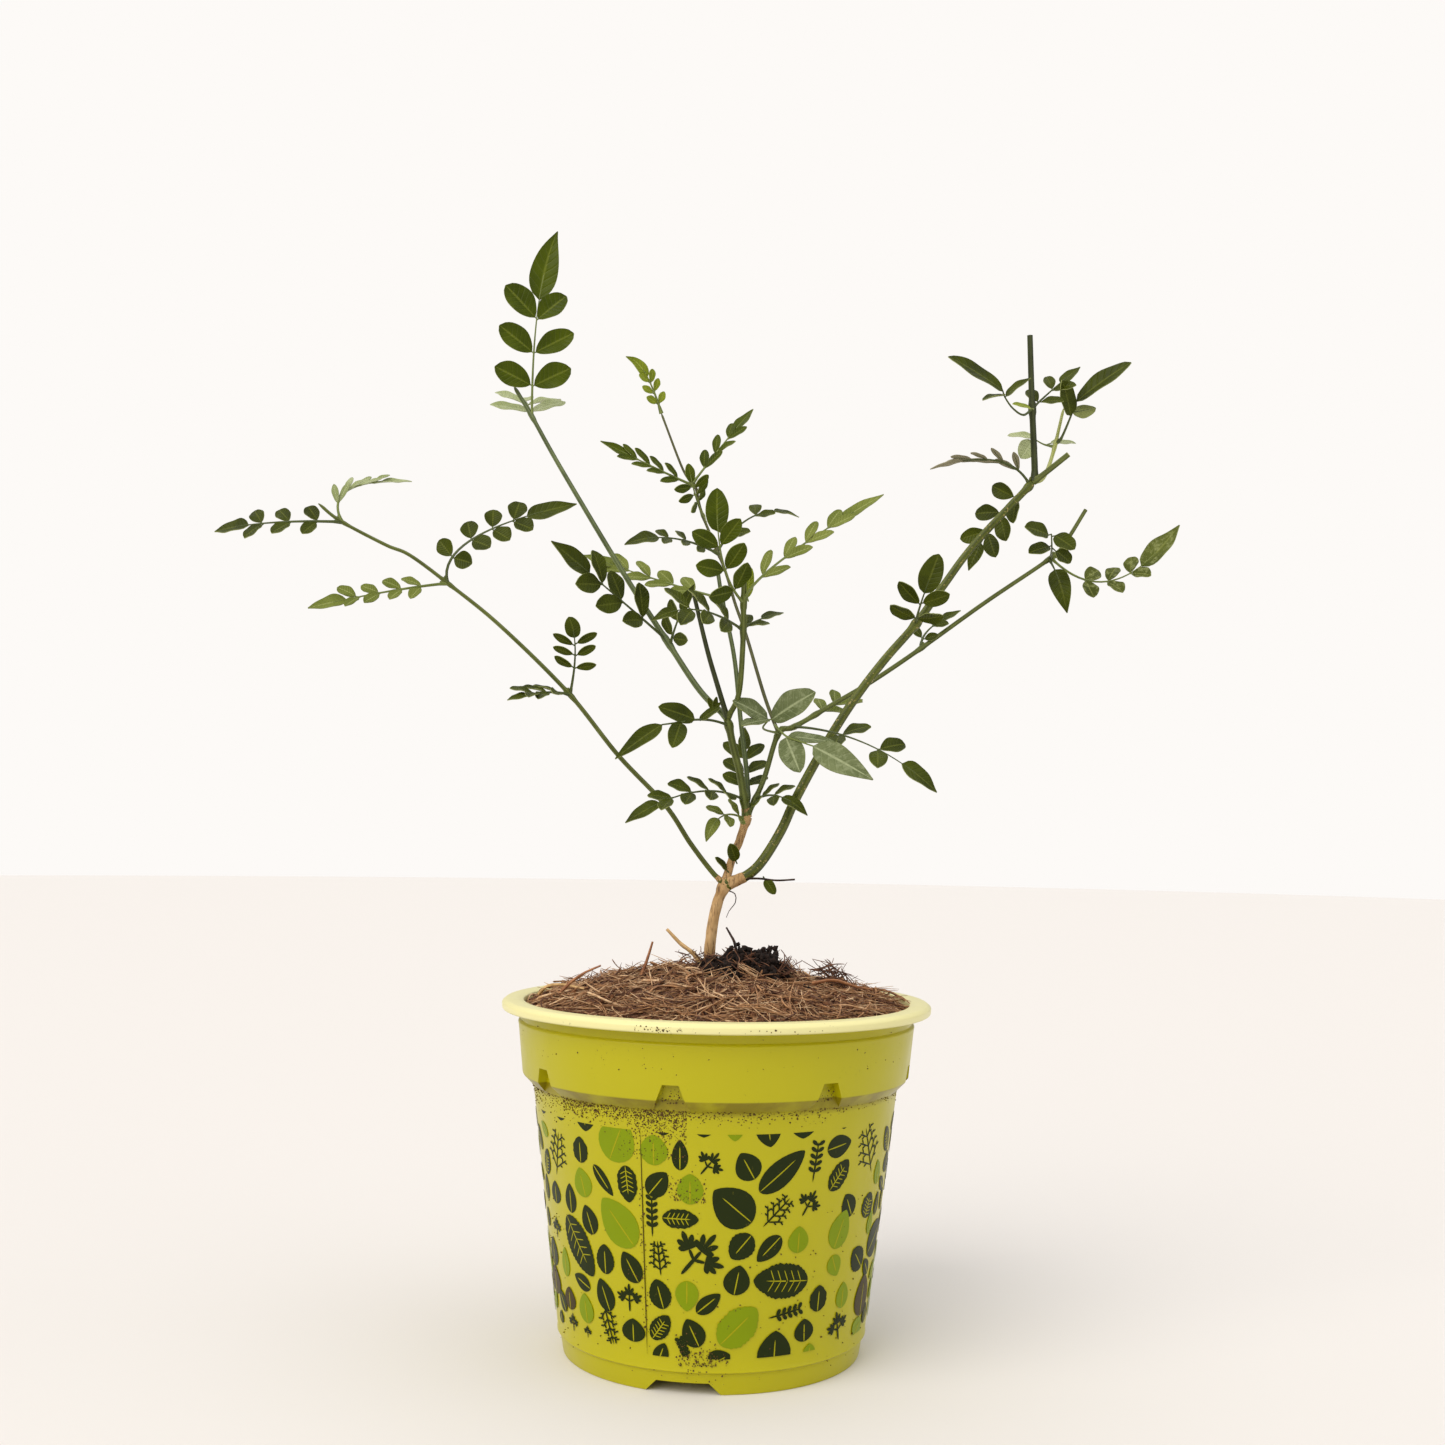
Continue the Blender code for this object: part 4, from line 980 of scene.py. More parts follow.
def root_spots(seed, count):
    """Dead roots in the heap, and one in eight in a tuft of its own."""
    chance = Random(seed)
    spots = []
    for number in range(count):
        x = PEAT_CENTRE.x + chance.gauss(0, 0.6) * PEAT_REACH.x
        y = PEAT_CENTRE.y + chance.gauss(0, 0.42) * PEAT_REACH.y
        if number % 8 == 0:
            x, y = chance.gauss(STRAY_PLACE[0], 2.6), chance.gauss(STRAY_PLACE[1], 2.0)
        rise, lift = chance.uniform(-0.2, 1.1), chance.uniform(0.5, 6.5)
        matrix = lay(chance, x, y, chance.uniform(0, 2 * pi), rise, chance.uniform(4, 11),
                     chance.uniform(0.2, 0.45), lift)
        spots.append((2 * FIBRE_SHAPES + chance.randrange(FIBRE_SHAPES), matrix))
    return spots


strew("peat_crumbs", crumbs, heap_spots(3, 2600, (0.35, 1.15)), [peat_tone],
      ["peat_clump"])
strewn = []
for which, matrix in heap_spots(9, 260, (0.25, 0.8)):
    x = PEAT_CENTRE.x + (matrix.translation.x - PEAT_CENTRE.x) * 2.4
    y = PEAT_CENTRE.y + (matrix.translation.y - PEAT_CENTRE.y) * 2.2
    matrix.translation = (x, y, mulch_height(x, y) + 0.7)
    strewn.append((which, matrix))
strew("strewn_peat_crumbs", crumbs, strewn, [peat_tone])
strew("peat_roots", fibres, root_spots(4, 620), coir_tones)

# %% Sticks and the dry twig
BARKS = {"tan": fibre_finish("dry_tan_twig_bark", "#a5824e", "#d6b27c", 3.0),
         "red": fibre_finish("dry_reddish_stick_bark", "#7a4a2c", "#b07a50", 3.0),
         "dark": fibre_finish("wet_dark_stick_bark", "#1c130d", "#40291c", 3.0)}
# Each stick: its bark, its radius at both ends, and its points from the mulch's top on the axis.
STICKS = {
    "bent_dry_twig": ("tan", 0.95, 0.5, (
        (-4.7, -3, -1.5), (-6.4, -3.6, 3), (-9, -4, 5.6), (-12.3, -4, 8), (-16.7, -3, 12.4))),
    "broken_red_stick": ("red", 0.6, 0.35, (
        (-24.6, -5, -2.4), (-23.4, -5, 1), (-22.4, -5, 4.2), (-21.2, -5, 8.4))),
    "broken_dark_stick": ("dark", 0.55, 0.3, (
        (6.2, -11, 5.6), (5.4, -12, 9.2), (4.3, -12, 11.2), (2.7, -12, 13.9))),
    "hair_root": ("dark", 0.22, 0.1, (
        (2.6, -0.6, 25.4), (5.4, -1.6, 24.2), (5.6, -1.4, 21.4), (3.6, -1.2, 18.6), (2.7, -1.3, 16.4))),
    "dry_twiglet": ("dark", 0.42, 0.3, (
        (3, 0, 28.5), (8.7, -1, 29.2), (13.5, -3, 29.4), (19, -3, 28.9), (25, -3, 29.3))),
    "husk_strip_left": ("red", 0.55, 0.3, (
        (-50, -20, -7.4), (-46, -20, -3.4), (-41.9, -20, -0.6), (-36.9, -20, 1.7))),
    "husk_strip_far_left": ("tan", 0.6, 0.3, (
        (-57, -14, -8.2), (-54, -17, -5.4), (-49, -19, -4.6), (-42, -21, -5.6))),
    "husk_strip_right": ("red", 0.55, 0.3, (
        (30, -22, -2.6), (37, -21, -1.6), (44, -17, -3.8), (50, -12, -5.2))),
}
MULCH_CENTRE = Vector((0, 0, MULCH_TOP))
STICK_SIDES, STICK_RIDGES, RIDGE, KNOTTY = 9, 3, 0.07, 0.14

for name, (bark, base, tip, points) in STICKS.items():
    shape = bmesh.new()
    path = smooth_path([MULCH_CENTRE + Vector(point) for point in points], 1.2)
    radii = []
    for number, point in enumerate(path):
        radius = base + (tip - base) * number / (len(path) - 1)
        radii.append(radius * (1 + KNOTTY * noise.noise(point / 1.7)))
    sweep(shape, path, radii, STICK_SIDES, STICK_RIDGES, RIDGE)
    keep(shape, name, [BARKS[bark]], ["dry_twig"] if name == "bent_dry_twig" else ())
print("sticks and strips:", len(STICKS))

# %% Dust on the pot
dust_finish = crumb_finish("dry_soil_dust", "#3a2812", "#6e5226", 1.0, 0.05)


def wall_point(angle, height, sunk=0.0):
    """A point of the pot's outside, at an angle from the front in degrees."""
    radius = wall_radius(height)
    if height > LIP_UNDERSIDE:
        half = (POT_HEIGHT - LIP_UNDERSIDE) / 2
        radius = RIM_RADIUS - half + sqrt(max(0.0, half ** 2 - (height - LIP_UNDERSIDE - half) ** 2))
    elif height > BAND_TOP:
        radius = BAND_RADIUS - 0.3
    elif height > BAND_BOTTOM:
        share = (height - BAND_BOTTOM) / (BAND_TOP - BAND_BOTTOM)
        radius = BAND_LOW_RADIUS + share * (BAND_RADIUS - BAND_LOW_RADIUS)
    elif height > WALL_TOP:
        radius = WALL_TOP_RADIUS + height - WALL_TOP
    radius -= sunk
    return Vector((radius * sin(radians(angle)), -radius * cos(radians(angle)), height))


# Each patch: first and last angle, where it is thickest and how far it thins upwards or down,
# how far it lies behind the surface, and how many crumbs. Wide patches thin both ways, evenly.
WIDE = 20
LEDGE = WALL_TOP + 0.6
PATCHES = (
    (-52, -24, LEDGE, -2.8, 0, 600), (-24, -8, LEDGE, -4.4, 0, 600), (-8, 40, LEDGE, -1.8, 0, 260),
    (-80, -52, LEDGE, -3.5, 0, 150), (40, 80, LEDGE, -1.2, 0, 60), (80, 280, LEDGE, -2.0, 0, 260),
    (-15, -9, LEDGE, 3.4, NOTCH_DEPTH - 1, 60), (30, 36, LEDGE, 3.0, NOTCH_DEPTH - 1, 40),
    (-20, -8, LIP_UNDERSIDE + 0.3, 0.9, 0, 70), (-8, 30, LIP_UNDERSIDE + 0.3, 0.5, 0, 40),
    (-12, 2, 9.0, 3.6, 0, 130), (-10, 6, 13.0, -4.0, 0, 70), (-14, -2, 58.0, 4.0, 0, 120),
    (-30, -8, 70.0, 4.5, 0, 110), (-23.4, -21.2, 40.0, 22.0, 0, 60), (-75, 70, 30.0, 26.0, 0, 190),
    (-75, 70, BAND_BOTTOM + 8, 5.0, 0, 60), (90, 270, 30.0, 26.0, 0, 120),
)


def dust_spots(seed):
    chance = Random(seed)
    spots = []
    for first, last, thickest, thins, sunk, count in PATCHES:
        for _ in range(count):
            away = chance.uniform(-1, 1) if thins >= WIDE else abs(chance.gauss(0, 1))
            height = min(POT_HEIGHT - 1.4, max(0.8, thickest + thins * away))
            spot = wall_point(chance.uniform(first, last), height, sunk)
            grow = Matrix.Scale(min(0.5, 0.1 + abs(chance.gauss(0, 0.1))), 4)
            place = Matrix.Translation(spot) @ tumble(chance) @ grow
            spots.append((chance.randrange(CRUMB_SHAPES), place))
    return spots


strew("dust_on_the_pot", crumbs, dust_spots(11), [dust_finish])

# %% [markdown]
# ## Stems
# Jasmine stems are thin green rods with five soft ridges, a little swollen where a pair of leaves
# sits. A curve with a bevel would make a round tube, but not ridges or swellings. Here a small
# ring is extruded along each path, and each ring gets its own radius. A stem starts inside the one
# that it grows from, so the joint is closed. Points are from the mulch's top on the pot's axis.

# %% Where the stems run
Stem = namedtuple("Stem", "name points base_radius tip_radius")
STEMS = (
    Stem("trunk", ((-2.5, 1, -21), (-2.5, 1, -2.5),
                   (-2.5, 1, 5.5), (-1.5, 0, 15.5), (0, 0, 22), (2, 0, 27)), 2, 1.7),
    Stem("trunk_top", ((2, 0, 27), (4.5, 1, 36), (7, 2, 42.5), (9, 3, 49.5)), 1.4, 1.3),
    Stem("right_branch", ((2, 0, 27), (9.5, 0, 30.5), (14.5, 1, 35.5), (20.5, 3, 45.5), (25, 5, 55.5),
                          (33.5, 7, 71.5), (43.5, 9, 88), (54.5, 11, 103), (65.5, 13, 116),
                          (75, 15, 129.5), (86, 17, 144.5), (106.5, 20, 167)), 1.7, 1.2),
    Stem("left_branch", ((2, 0, 27), (-2.5, -1, 31.5), (-9.5, -3, 40.5), (-18, -7, 53),
                         (-33.5, -12, 69), (-49.5, -18, 88.5), (-71, -24, 109), (-87, -28, 121.5),
                         (-99, -31, 130), (-106.5, -32, 133), (-120.5, -34, 140),
                         (-127, -36, 145)), 0.85, 0.5),
    Stem("right_upright", ((106.5, 20, 167), (107, 20, 171), (105.5, 18, 195), (104.5, 17, 217.5)),
         1.15, 0.95),
    Stem("right_stub", ((106.5, 20, 167), (110, 18, 169.5), (117.5, 14, 175.5)), 1, 0.95),
    Stem("right_pale_shoot", ((106.5, 20, 167), (110.5, 23, 169), (114.5, 27, 178),
                              (119.5, 33, 196)), 0.75, 0.5),
    Stem("centre_stem", ((9, 3, 49.5), (6.5, 1, 63.5), (4, -1, 73), (2, -2, 82)), 1.25, 1.2),
    Stem("thin_right_branch", ((9, 3, 49.5), (14.5, 9, 62), (19.5, 15, 78), (25, 16, 80.5),
                               (38, 21, 88.5), (52.5, 25, 97.5), (69.5, 30, 109.5), (93, 37, 127),
                               (117, 43, 144), (123, 45, 150.5), (130.5, 47, 162.5)), 0.9, 0.7),
    Stem("back_stem", ((9, 3, 49.5), (9, 8, 62), (6.5, 14, 82.5), (4, 20, 104.5),
                       (-0.5, 26, 125.5), (-2.5, 30, 137.5)), 0.85, 0.7),
    Stem("tall_left_branch", ((2, -2, 82), (-7.5, 3, 91.5), (-19.5, 12, 109.5), (-34.5, 20, 132.5),
                              (-58, 32, 171), (-69.5, 38, 191), (-76.5, 41, 202.5)), 1.05, 0.7),
    Stem("centre_upright", ((2, -2, 82), (5.5, -8, 89.5), (6.5, -16, 104), (6.5, -22, 118),
                            (6.5, -25, 126.5)), 0.9, 0.85),
    Stem("centre_left_stub", ((2, -2, 82), (-1.5, -8, 92.5), (-5, -14, 103.5), (-9.5, -20, 120.5)),
         0.9, 0.65),
    Stem("slender_shoot", ((19.5, 15, 78), (14.5, 13, 90.5), (8, 9, 110.5), (4, 6, 121), (0, 4, 133),
                           (-7.5, 0, 150), (-10, -2, 159), (-14, -4, 164), (-21.5, -8, 182)),
         0.65, 0.35),
)
print("stems:", len(STEMS))

# %% Where the leaves sit
# A leaf leaves its stem at a share of the stem's length. Its midpoint and tip are measured from
# there. Then come the way its upper face looks, its pairs of side leaflets, the lengths of a side
# leaflet and of the end leaflet, and the lowest pair's place as a share of the midrib.
Leaf = namedtuple("Leaf", "name stem share middle tip face pairs side end first", defaults=(0.25,))
LEAVES = [Leaf(*row) for row in (
    ("leaf_front_left", "thin_right_branch", 0.185, (-7, -11, 7), (-14, -18, 11),
     (2, -9, 6), 1, 10, 12, 0.6),
    ("leaf_fork_left", "centre_stem", 0.17, (-17, -17, 2), (-38, -25, -8), (0, -5, 9), 4, 8, 13),
    ("leaf_fork_right", "thin_right_branch", 0.04, (8, -8, 1), (17, -12, -5), (0, -4, 9), 2, 8, 11),
    ("leaf_fork_curl", "trunk_top", 0.96, (-8, -9, 1), (-13, -13, -7), (0, -7, 6), 2, 6, 9),
    ("leaf_left_low_upper", "left_branch", 0.45, (2, -7, 14), (0, -10, 24), (0, -9, 3), 3, 7, 7, 0.5),
    ("leaf_left_low_lower", "left_branch", 0.45, (-8, -8, 0), (-18, -16, -3), (0, -5, 9), 3, 7, 8),
    ("leaf_left_mid_upper", "left_branch", 0.74, (8, -2, 14), (39, 6, 27), (-2, -5, 9), 4, 8.5, 16),
    ("leaf_left_mid_lower", "left_branch", 0.74, (-19, -6, -4), (-41, -12, -10), (0, -4, 9), 4, 7, 12),
    ("leaf_left_tip", "left_branch", 0.95, (-22, -2, -1), (-41, 4, -3), (0, -5, 9), 4, 9, 13),
    ("leaf_left_tip_arch", "left_branch", 0.95, (1, 4, 11), (19, 14, 16), (0, 4, 10), 2, 5, 10),
    ("leaf_centre_left", "centre_stem", 0.93, (-16, -12, -1), (-36, -22, -12), (1, -6, 8), 2, 10, 16),
    ("leaf_centre_behind", "back_stem", 0.08, (-1, 12, 11), (-1, 20, 24), (0, -10, 0), 3, 8, 9),
    ("leaf_centre_back", "back_stem", 0.86, (-22, 8, 7), (-50, 16, 17), (0, 2, 10), 3, 8, 13),
    ("leaf_centre_low_left", "centre_upright", 0.64, (-14, -11, 5), (-27, -16, 2), (0, -4, 9), 3, 8, 7),
    ("leaf_centre_low_right", "centre_upright", 0.66, (7, 5, 4), (12, 9, 6), (0, -5, 9), 1, 6, 8),
    ("leaf_centre_face", "centre_upright", 0.82, (-7, -11, 12), (-9, -15, 34),
     (0, -10, 2), 3, 11, 13.5),
    ("leaf_right_long", "centre_upright", 0.82, (11, -2, 13), (44, 10, 37), (-2, -5, 9), 4, 9, 17),
    ("leaf_upper_left", "tall_left_branch", 0.25, (-14, -10, 11), (-37, -24, 29),
     (3, -9, 5), 3, 10.5, 17, 0.3),
    ("leaf_upper_left_twin", "tall_left_branch", 0.23, (3, -5, 9), (8, -7, 20), (-5, -8, 3), 2, 7, 10),
    ("leaf_top_left_upright", "tall_left_branch", 0.91, (1, 4, 42), (7, 7, 70), (1, -10, 1), 3, 16, 27),
    ("leaf_top_left_back", "tall_left_branch", 0.91, (-4, 16, 9), (-8, 30, 14), (1, -3, 10), 3, 14, 12),
    ("leaf_spray_low_left", "slender_shoot", 0.56, (-16, -7, 4), (-31, -11, 1), (0, -3, 9), 2, 6, 12),
    ("leaf_spray_low_right", "slender_shoot", 0.57, (13, 9, 14), (28, 17, 15), (1, -5, 9), 3, 8, 10),
    ("leaf_spray_stack", "slender_shoot", 0.68, (-3, -9, 7), (-5, -11, 16), (0, -10, 2), 3, 7, 7),
    ("leaf_spray_left", "slender_shoot", 0.77, (-11, -4, 4), (-30, -10, 12), (2, -5, 9), 4, 6, 10),
    ("leaf_spray_right", "slender_shoot", 0.78, (10, 7, 15), (19, 15, 28), (-4, -7, 6), 3, 7, 11),
    ("leaf_spray_tip", "slender_shoot", 1.0, (-5, -2, 12), (-10, -4, 17), (2, -9, 3), 3, 6, 8),
    ("leaf_front_big", "thin_right_branch", 0.19, (9, -27, -3), (28, -38, -17), (-4, -9, 3), 2, 15, 20),
    ("leaf_front_right", "thin_right_branch", 0.22, (23, -28, -7), (45, -30, -22),
     (1, -7, 7), 2, 9, 15, 0.5),
    ("leaf_right_low_pale", "thin_right_branch", 0.27, (9, 12, 5), (18, 21, 7), (0, 1, 10), 2, 7, 10),
    ("leaf_right_mid_small", "thin_right_branch", 0.53, (3, 2, 7), (14, 4, 14), (0, -5, 8), 2, 5, 8),
    ("leaf_right_mid_face", "right_branch", 0.63, (1, -9, 7), (6, -13, 22), (0, -9, 3), 2, 9.5, 14),
    ("leaf_right_far_inner", "thin_right_branch", 0.87, (-3, -3, 7), (-5, -7, 13), (0, -8, 6), 2, 8, 8),
    ("leaf_right_far_outer", "thin_right_branch", 0.87, (22, -2, -8), (45, -4, 12),
     (-4, -6, 6), 3, 6.5, 20, 0.4),
    ("leaf_right_far_down", "thin_right_branch", 0.865, (2, -7, -8), (4, -9, -17),
     (-2, -9, 0), 0, 0, 14),
    ("leaf_right_face", "right_branch", 0.99, (-10, 8, -10), (-19, 9, -27), (-3, -9, 3), 3, 8, 9),
    ("leaf_right_grey", "right_branch", 0.99, (-13, -7, 7), (-35, -12, 3), (0, 3, 10), 4, 6, 11),
    ("leaf_top_right_arch", "right_upright", 0.5, (-9, -8, 4), (-31, -14, 13),
     (2, -9, 5), 2, 8, 18, 0.5),
    ("leaf_top_right_inner", "right_upright", 0.5, (8, 4, 8), (18, 8, 17), (-2, -7, 7), 2, 7, 10),
    ("leaf_top_right_outer", "right_pale_shoot", 0.59, (4, -7, 12), (25, -5, 28),
     (-3, -8, 6), 1, 10, 18, 0.8),
    ("leaf_top_right_pale", "right_pale_shoot", 0.55, (0, 14, 5), (2, 30, 10), (0, 0, 10), 2, 11, 9),
)]
print("leaves:", len(LEAVES))

# %% Lengths along a path
def lengths_along(path):
    total = [0.0]
    for start, end in zip(path, path[1:]):
        total.append(total[-1] + (end - start).length)
    return total


def point_at(path, length):
    """The point this far along a path, also a little past its ends."""
    total = lengths_along(path)
    for number in range(1, len(path)):
        if length <= total[number] or number == len(path) - 1:
            share = (length - total[number - 1]) / (total[number] - total[number - 1])
            return path[number - 1].lerp(path[number], share)


def evenly(path, start, end, count):
    """So many points, at even steps between two lengths of a path."""
    return [point_at(path, start + (end - start) * number / (count - 1)) for number in range(count)]


routes = {stem.name: smooth_path([MULCH_CENTRE + Vector(point) for point in stem.points], 2.0)
          for stem in STEMS}
print("longest stem:", round(max(lengths_along(route)[-1] for route in routes.values())), "mm")

# %% Skin of the stems
def uv_of(tree):
    return add_node(tree, "ShaderNodeUVMap", uv_map="blade").outputs["UV"]


def stem_skin(name, dark, light, fleck=None):
    """Waxy green bark: each ridge has a painted highlight on its top, with a cloudy change along the
    stem.
    """
    finish, tree = new_finish(name, Roughness=0.42, IOR=1.45, Specular_IOR_Level=0.3)
    where = places(tree)
    around = add_node(tree, "ShaderNodeSeparateXYZ", {0: uv_of(tree)}).outputs["X"]
    # Painted highlight: a lighter streak along every ridge.
    ridge_highlight = maths(tree, "SINE", maths(tree, "MULTIPLY_ADD", around, 2 * pi * STEM_RIDGES))
    cloud = between(tree, grain(tree, where, 7.0, 3.0), 0.3, 0.7, -0.35, 0.35)
    share = between(tree, maths(tree, "ADD", maths(tree, "MULTIPLY", ridge_highlight, 0.4), cloud), -0.6, 0.8)
    colour = blend_colours(tree, share, linear(dark), linear(light))
    if fleck:
        spots = between(tree, grain(tree, where, 1.0, 1.0), 0.66, 0.7)
        colour = blend_colours(tree, spots, colour, linear(fleck))
    return connect(finish, Base_Color=colour, Normal=relief(tree, grain(tree, where, 0.7, 3.0), 0.05))


STEM_RIDGES, STEM_SIDES = 5, 20
skins = {
    "olive": stem_skin("olive_green_bark", "#434a16", "#717a3c"),
    "green": stem_skin("green_jasmine_bark", "#3a4520", "#6e7a4c"),
    "dark": stem_skin("old_dark_green_bark", "#282e12", "#484f2a"),
    "spotted": stem_skin("green_bark_with_corky_dots", "#3c440e", "#686f26", "#a08f56"),
    "pale": stem_skin("young_pale_bark", "#949a4c", "#bcc080"),
    "purple": stem_skin("young_purplish_bark", "#4c4834", "#6f7448"),
}
cut_wood = crumb_finish("fresh_cut_pith", "#9a8f5c", "#d8d0a0", 0.6, 0.1)
print("stem skins:", ", ".join(skins))

# %% Bark of the trunk
def trunk_bark():
    """Thin tan bark that splits along the trunk."""
    finish, tree = new_finish("tan_split_bark", Roughness=0.75, IOR=1.45)
    where = places(tree)
    stretched = add_node(tree, "ShaderNodeMapping", {"Vector": where, "Scale": (1, 1, 0.16)}).outputs[0]
    splits = grain(tree, stretched, 0.9, 4.0, 0.6)
    cloud = grain(tree, where, 6.0, 3.0)
    tan = blend_colours(tree, between(tree, cloud, 0.3, 0.7), linear("#a47c4a"), linear("#cfab78"))
    colour = blend_colours(tree, between(tree, splits, 0.36, 0.5, 0.75, 0.0), tan, linear("#5d4126"))
    return connect(finish, Base_Color=colour, Normal=relief(tree, splits, 0.35))


skins["bark"] = trunk_bark()
print("trunk bark is ready")

# %% Grow the stems
LOOKS = {"trunk": "bark", "trunk_top": "bark", "right_branch": "spotted", "right_pale_shoot": "pale",
         "slender_shoot": "purple", "centre_upright": "olive", "centre_left_stub": "dark",
         "centre_stem": "olive", "left_branch": "olive", "right_upright": "dark", "right_stub": "olive",
         "thin_right_branch": "olive"}
CUT_ENDS = ("right_upright", "right_stub", "centre_upright", "centre_left_stub", "thin_right_branch")
NODE_SWELLING, NODE_REACH, STEM_RIDGE, BUD = 0.32, 1.7, 0.05, 0.9


def knots(stem):
    """The lengths along a stem where it swells: at its leaves and where others leave it."""
    route = routes[stem.name]
    total = lengths_along(route)[-1]
    found = [leaf.share * total for leaf in LEAVES if leaf.stem == stem.name]
    for other in STEMS:
        if other.name != stem.name:
            first = routes[other.name][0]
            spots = [(first - point).length for point in route]
            if min(spots) < 0.6:
                found.append(lengths_along(route)[spots.index(min(spots))])
    return found


def stem_radii(stem, path):
    total = lengths_along(path)
    swollen = knots(stem)
    radii = []
    for length in total:
        radius = stem.base_radius + (stem.tip_radius - stem.base_radius) * length / total[-1]
        bump = sum(exp(-((length - knot) / NODE_REACH) ** 2) for knot in swollen)
        radii.append(radius * (1 + NODE_SWELLING * min(1.0, bump)))
    return radii


def bud(shape, place, ahead, out, size):
    """A small pointed bud in the corner between a leaf and its stem."""
    turn = (ahead * 1.4 + out).to_track_quat("Z", "Y").to_matrix().to_4x4()
    matrix = Matrix.Translation(place) @ turn @ Matrix.Diagonal((size / 2, size / 2, size, 1))
    bmesh.ops.create_icosphere(shape, subdivisions=2, radius=1, matrix=matrix)


def grow_stem(stem):
    shape = bmesh.new()
    uv = shape.loops.layers.uv.new("blade")
    path = smooth_path([MULCH_CENTRE + Vector(point) for point in stem.points], 1.0)
    woody = LOOKS.get(stem.name) == "bark"
    radii = stem_radii(stem, path)
    tip_cut = stem.name in CUT_ENDS
    if not tip_cut and not woody:
        radii[-2:] = [radii[-1] * 0.8, radii[-1] * 0.35]
    made = sweep(shape, path, radii, STEM_SIDES, STEM_RIDGES, STEM_RIDGE, 0, uv)
    if tip_cut:
        made[-1].material_index = 1
    bmesh.ops.recalc_face_normals(shape, faces=shape.faces)
    if woody:
        for vert in shape.verts:
            rough = noise.noise(Vector((vert.co.x, vert.co.y, vert.co.z / 4)) / 0.9)
            vert.co += vert.normal * 0.17 * rough
    total = lengths_along(path)[-1]
    for leaf in LEAVES:
        if leaf.stem == stem.name:
            here = point_at(path, leaf.share * total)
            ahead = (point_at(path, leaf.share * total + 1) - here).normalized()
            out = Vector(leaf.middle) - ahead * Vector(leaf.middle).dot(ahead)
            out.normalize()
            bud(shape, here + ahead * 1.5 + out * stem.base_radius * 0.9, ahead, out, BUD)
    look = skins[LOOKS.get(stem.name, "green")]
    keep(shape, "ridged_" + stem.name, [look, cut_wood], [stem.name])


for stem in STEMS:
    grow_stem(stem)
print("stems grown:", len(STEMS))

# %% Bark that reaches up onto the branches
def bark_sleeves(reaches):
    """The trunk's tan bark ends as a ragged sleeve round the foot of each branch."""
    shape = bmesh.new()
    uv = shape.loops.layers.uv.new("blade")
    for stem in STEMS:
        if stem.name not in reaches:
            continue
        path = evenly(routes[stem.name], 0.0, reaches[stem.name], 10)
        radii = [stem.base_radius * (1.4 - 0.34 * (number / 9) ** 0.6) for number in range(10)]
        sweep(shape, path, radii, 16, 5, 0.06, 0, uv)
    bmesh.ops.recalc_face_normals(shape, faces=shape.faces)
    for vert in shape.verts:
        vert.co += vert.normal * 0.2 * noise.noise(Vector((vert.co.x, vert.co.y, vert.co.z / 3)) / 0.8)
    keep(shape, "bark_sleeves", [skins["bark"]], ())


bark_sleeves({"right_branch": 7.0, "left_branch": 4.0, "centre_stem": 3.0})
print("bark sleeves laid")

# %% [markdown]
# ## Leaves
# A jasmine leaf is compound: a thin midrib carries pairs of small oval leaflets and one longer,
# pointed one at its end. Each blade is folded a little along its vein, glossy above and pale and
# dull below. A picture of a leaf on a flat card would look right from one side only. Here each
# blade starts as a grid, is bent to its outline, and gets its thickness and its two sides.

# %% Blade finishes
def blade_face(name, dark, light, vein, gloss, veins_show=0.26, sheen_and_speckles=None):
    """One side of a blade. The side veins leave the midrib at a slant, every eighth of its length."""
    finish, tree = new_finish(name, Roughness=gloss, IOR=1.45, Specular_IOR_Level=0.14)
    where = places(tree)
    parts = add_node(tree, "ShaderNodeSeparateXYZ", {0: uv_of(tree)}).outputs
    aside = maths(tree, "ABSOLUTE", maths(tree, "SUBTRACT", parts["X"], 0.5))
    cloud = grain(tree, where, 9.0, 3.0)
    colour = blend_colours(tree, between(tree, cloud, 0.32, 0.68), linear(dark), linear(light))
    slant = maths(tree, "SUBTRACT", maths(tree, "MULTIPLY", parts["Y"], 8.0),
                  maths(tree, "MULTIPLY", aside, 2.6))
    lines = maths(tree, "ABSOLUTE", maths(tree, "SUBTRACT", maths(tree, "FRACT", slant), 0.5))
    side_veins = between(tree, lines, 0.4, 0.5, 0.0, veins_show * 0.6)
    midrib = between(tree, aside, 0.02, 0.06, veins_show * 2.0, 0.0)
    colour = blend_colours(tree, maths(tree, "MAXIMUM", side_veins, midrib), colour, linear(vein))
    if sheen_and_speckles:
        # Pale patches: a painted sheen on the grey blade, and pale speckles on the speckled one.
        patches = between(tree, grain(tree, where, 2.2, 4.0, 0.7), 0.5, 0.62, 0.0, 0.7)
        colour = blend_colours(tree, patches, colour, linear(sheen_and_speckles))
    puffed = relief(tree, between(tree, lines, 0.3, 0.5, 1.0, 0.0), 0.12)
    return connect(finish, Base_Color=colour,
                   Normal=relief(tree, grain(tree, where, 0.8, 2.0), 0.03, puffed))


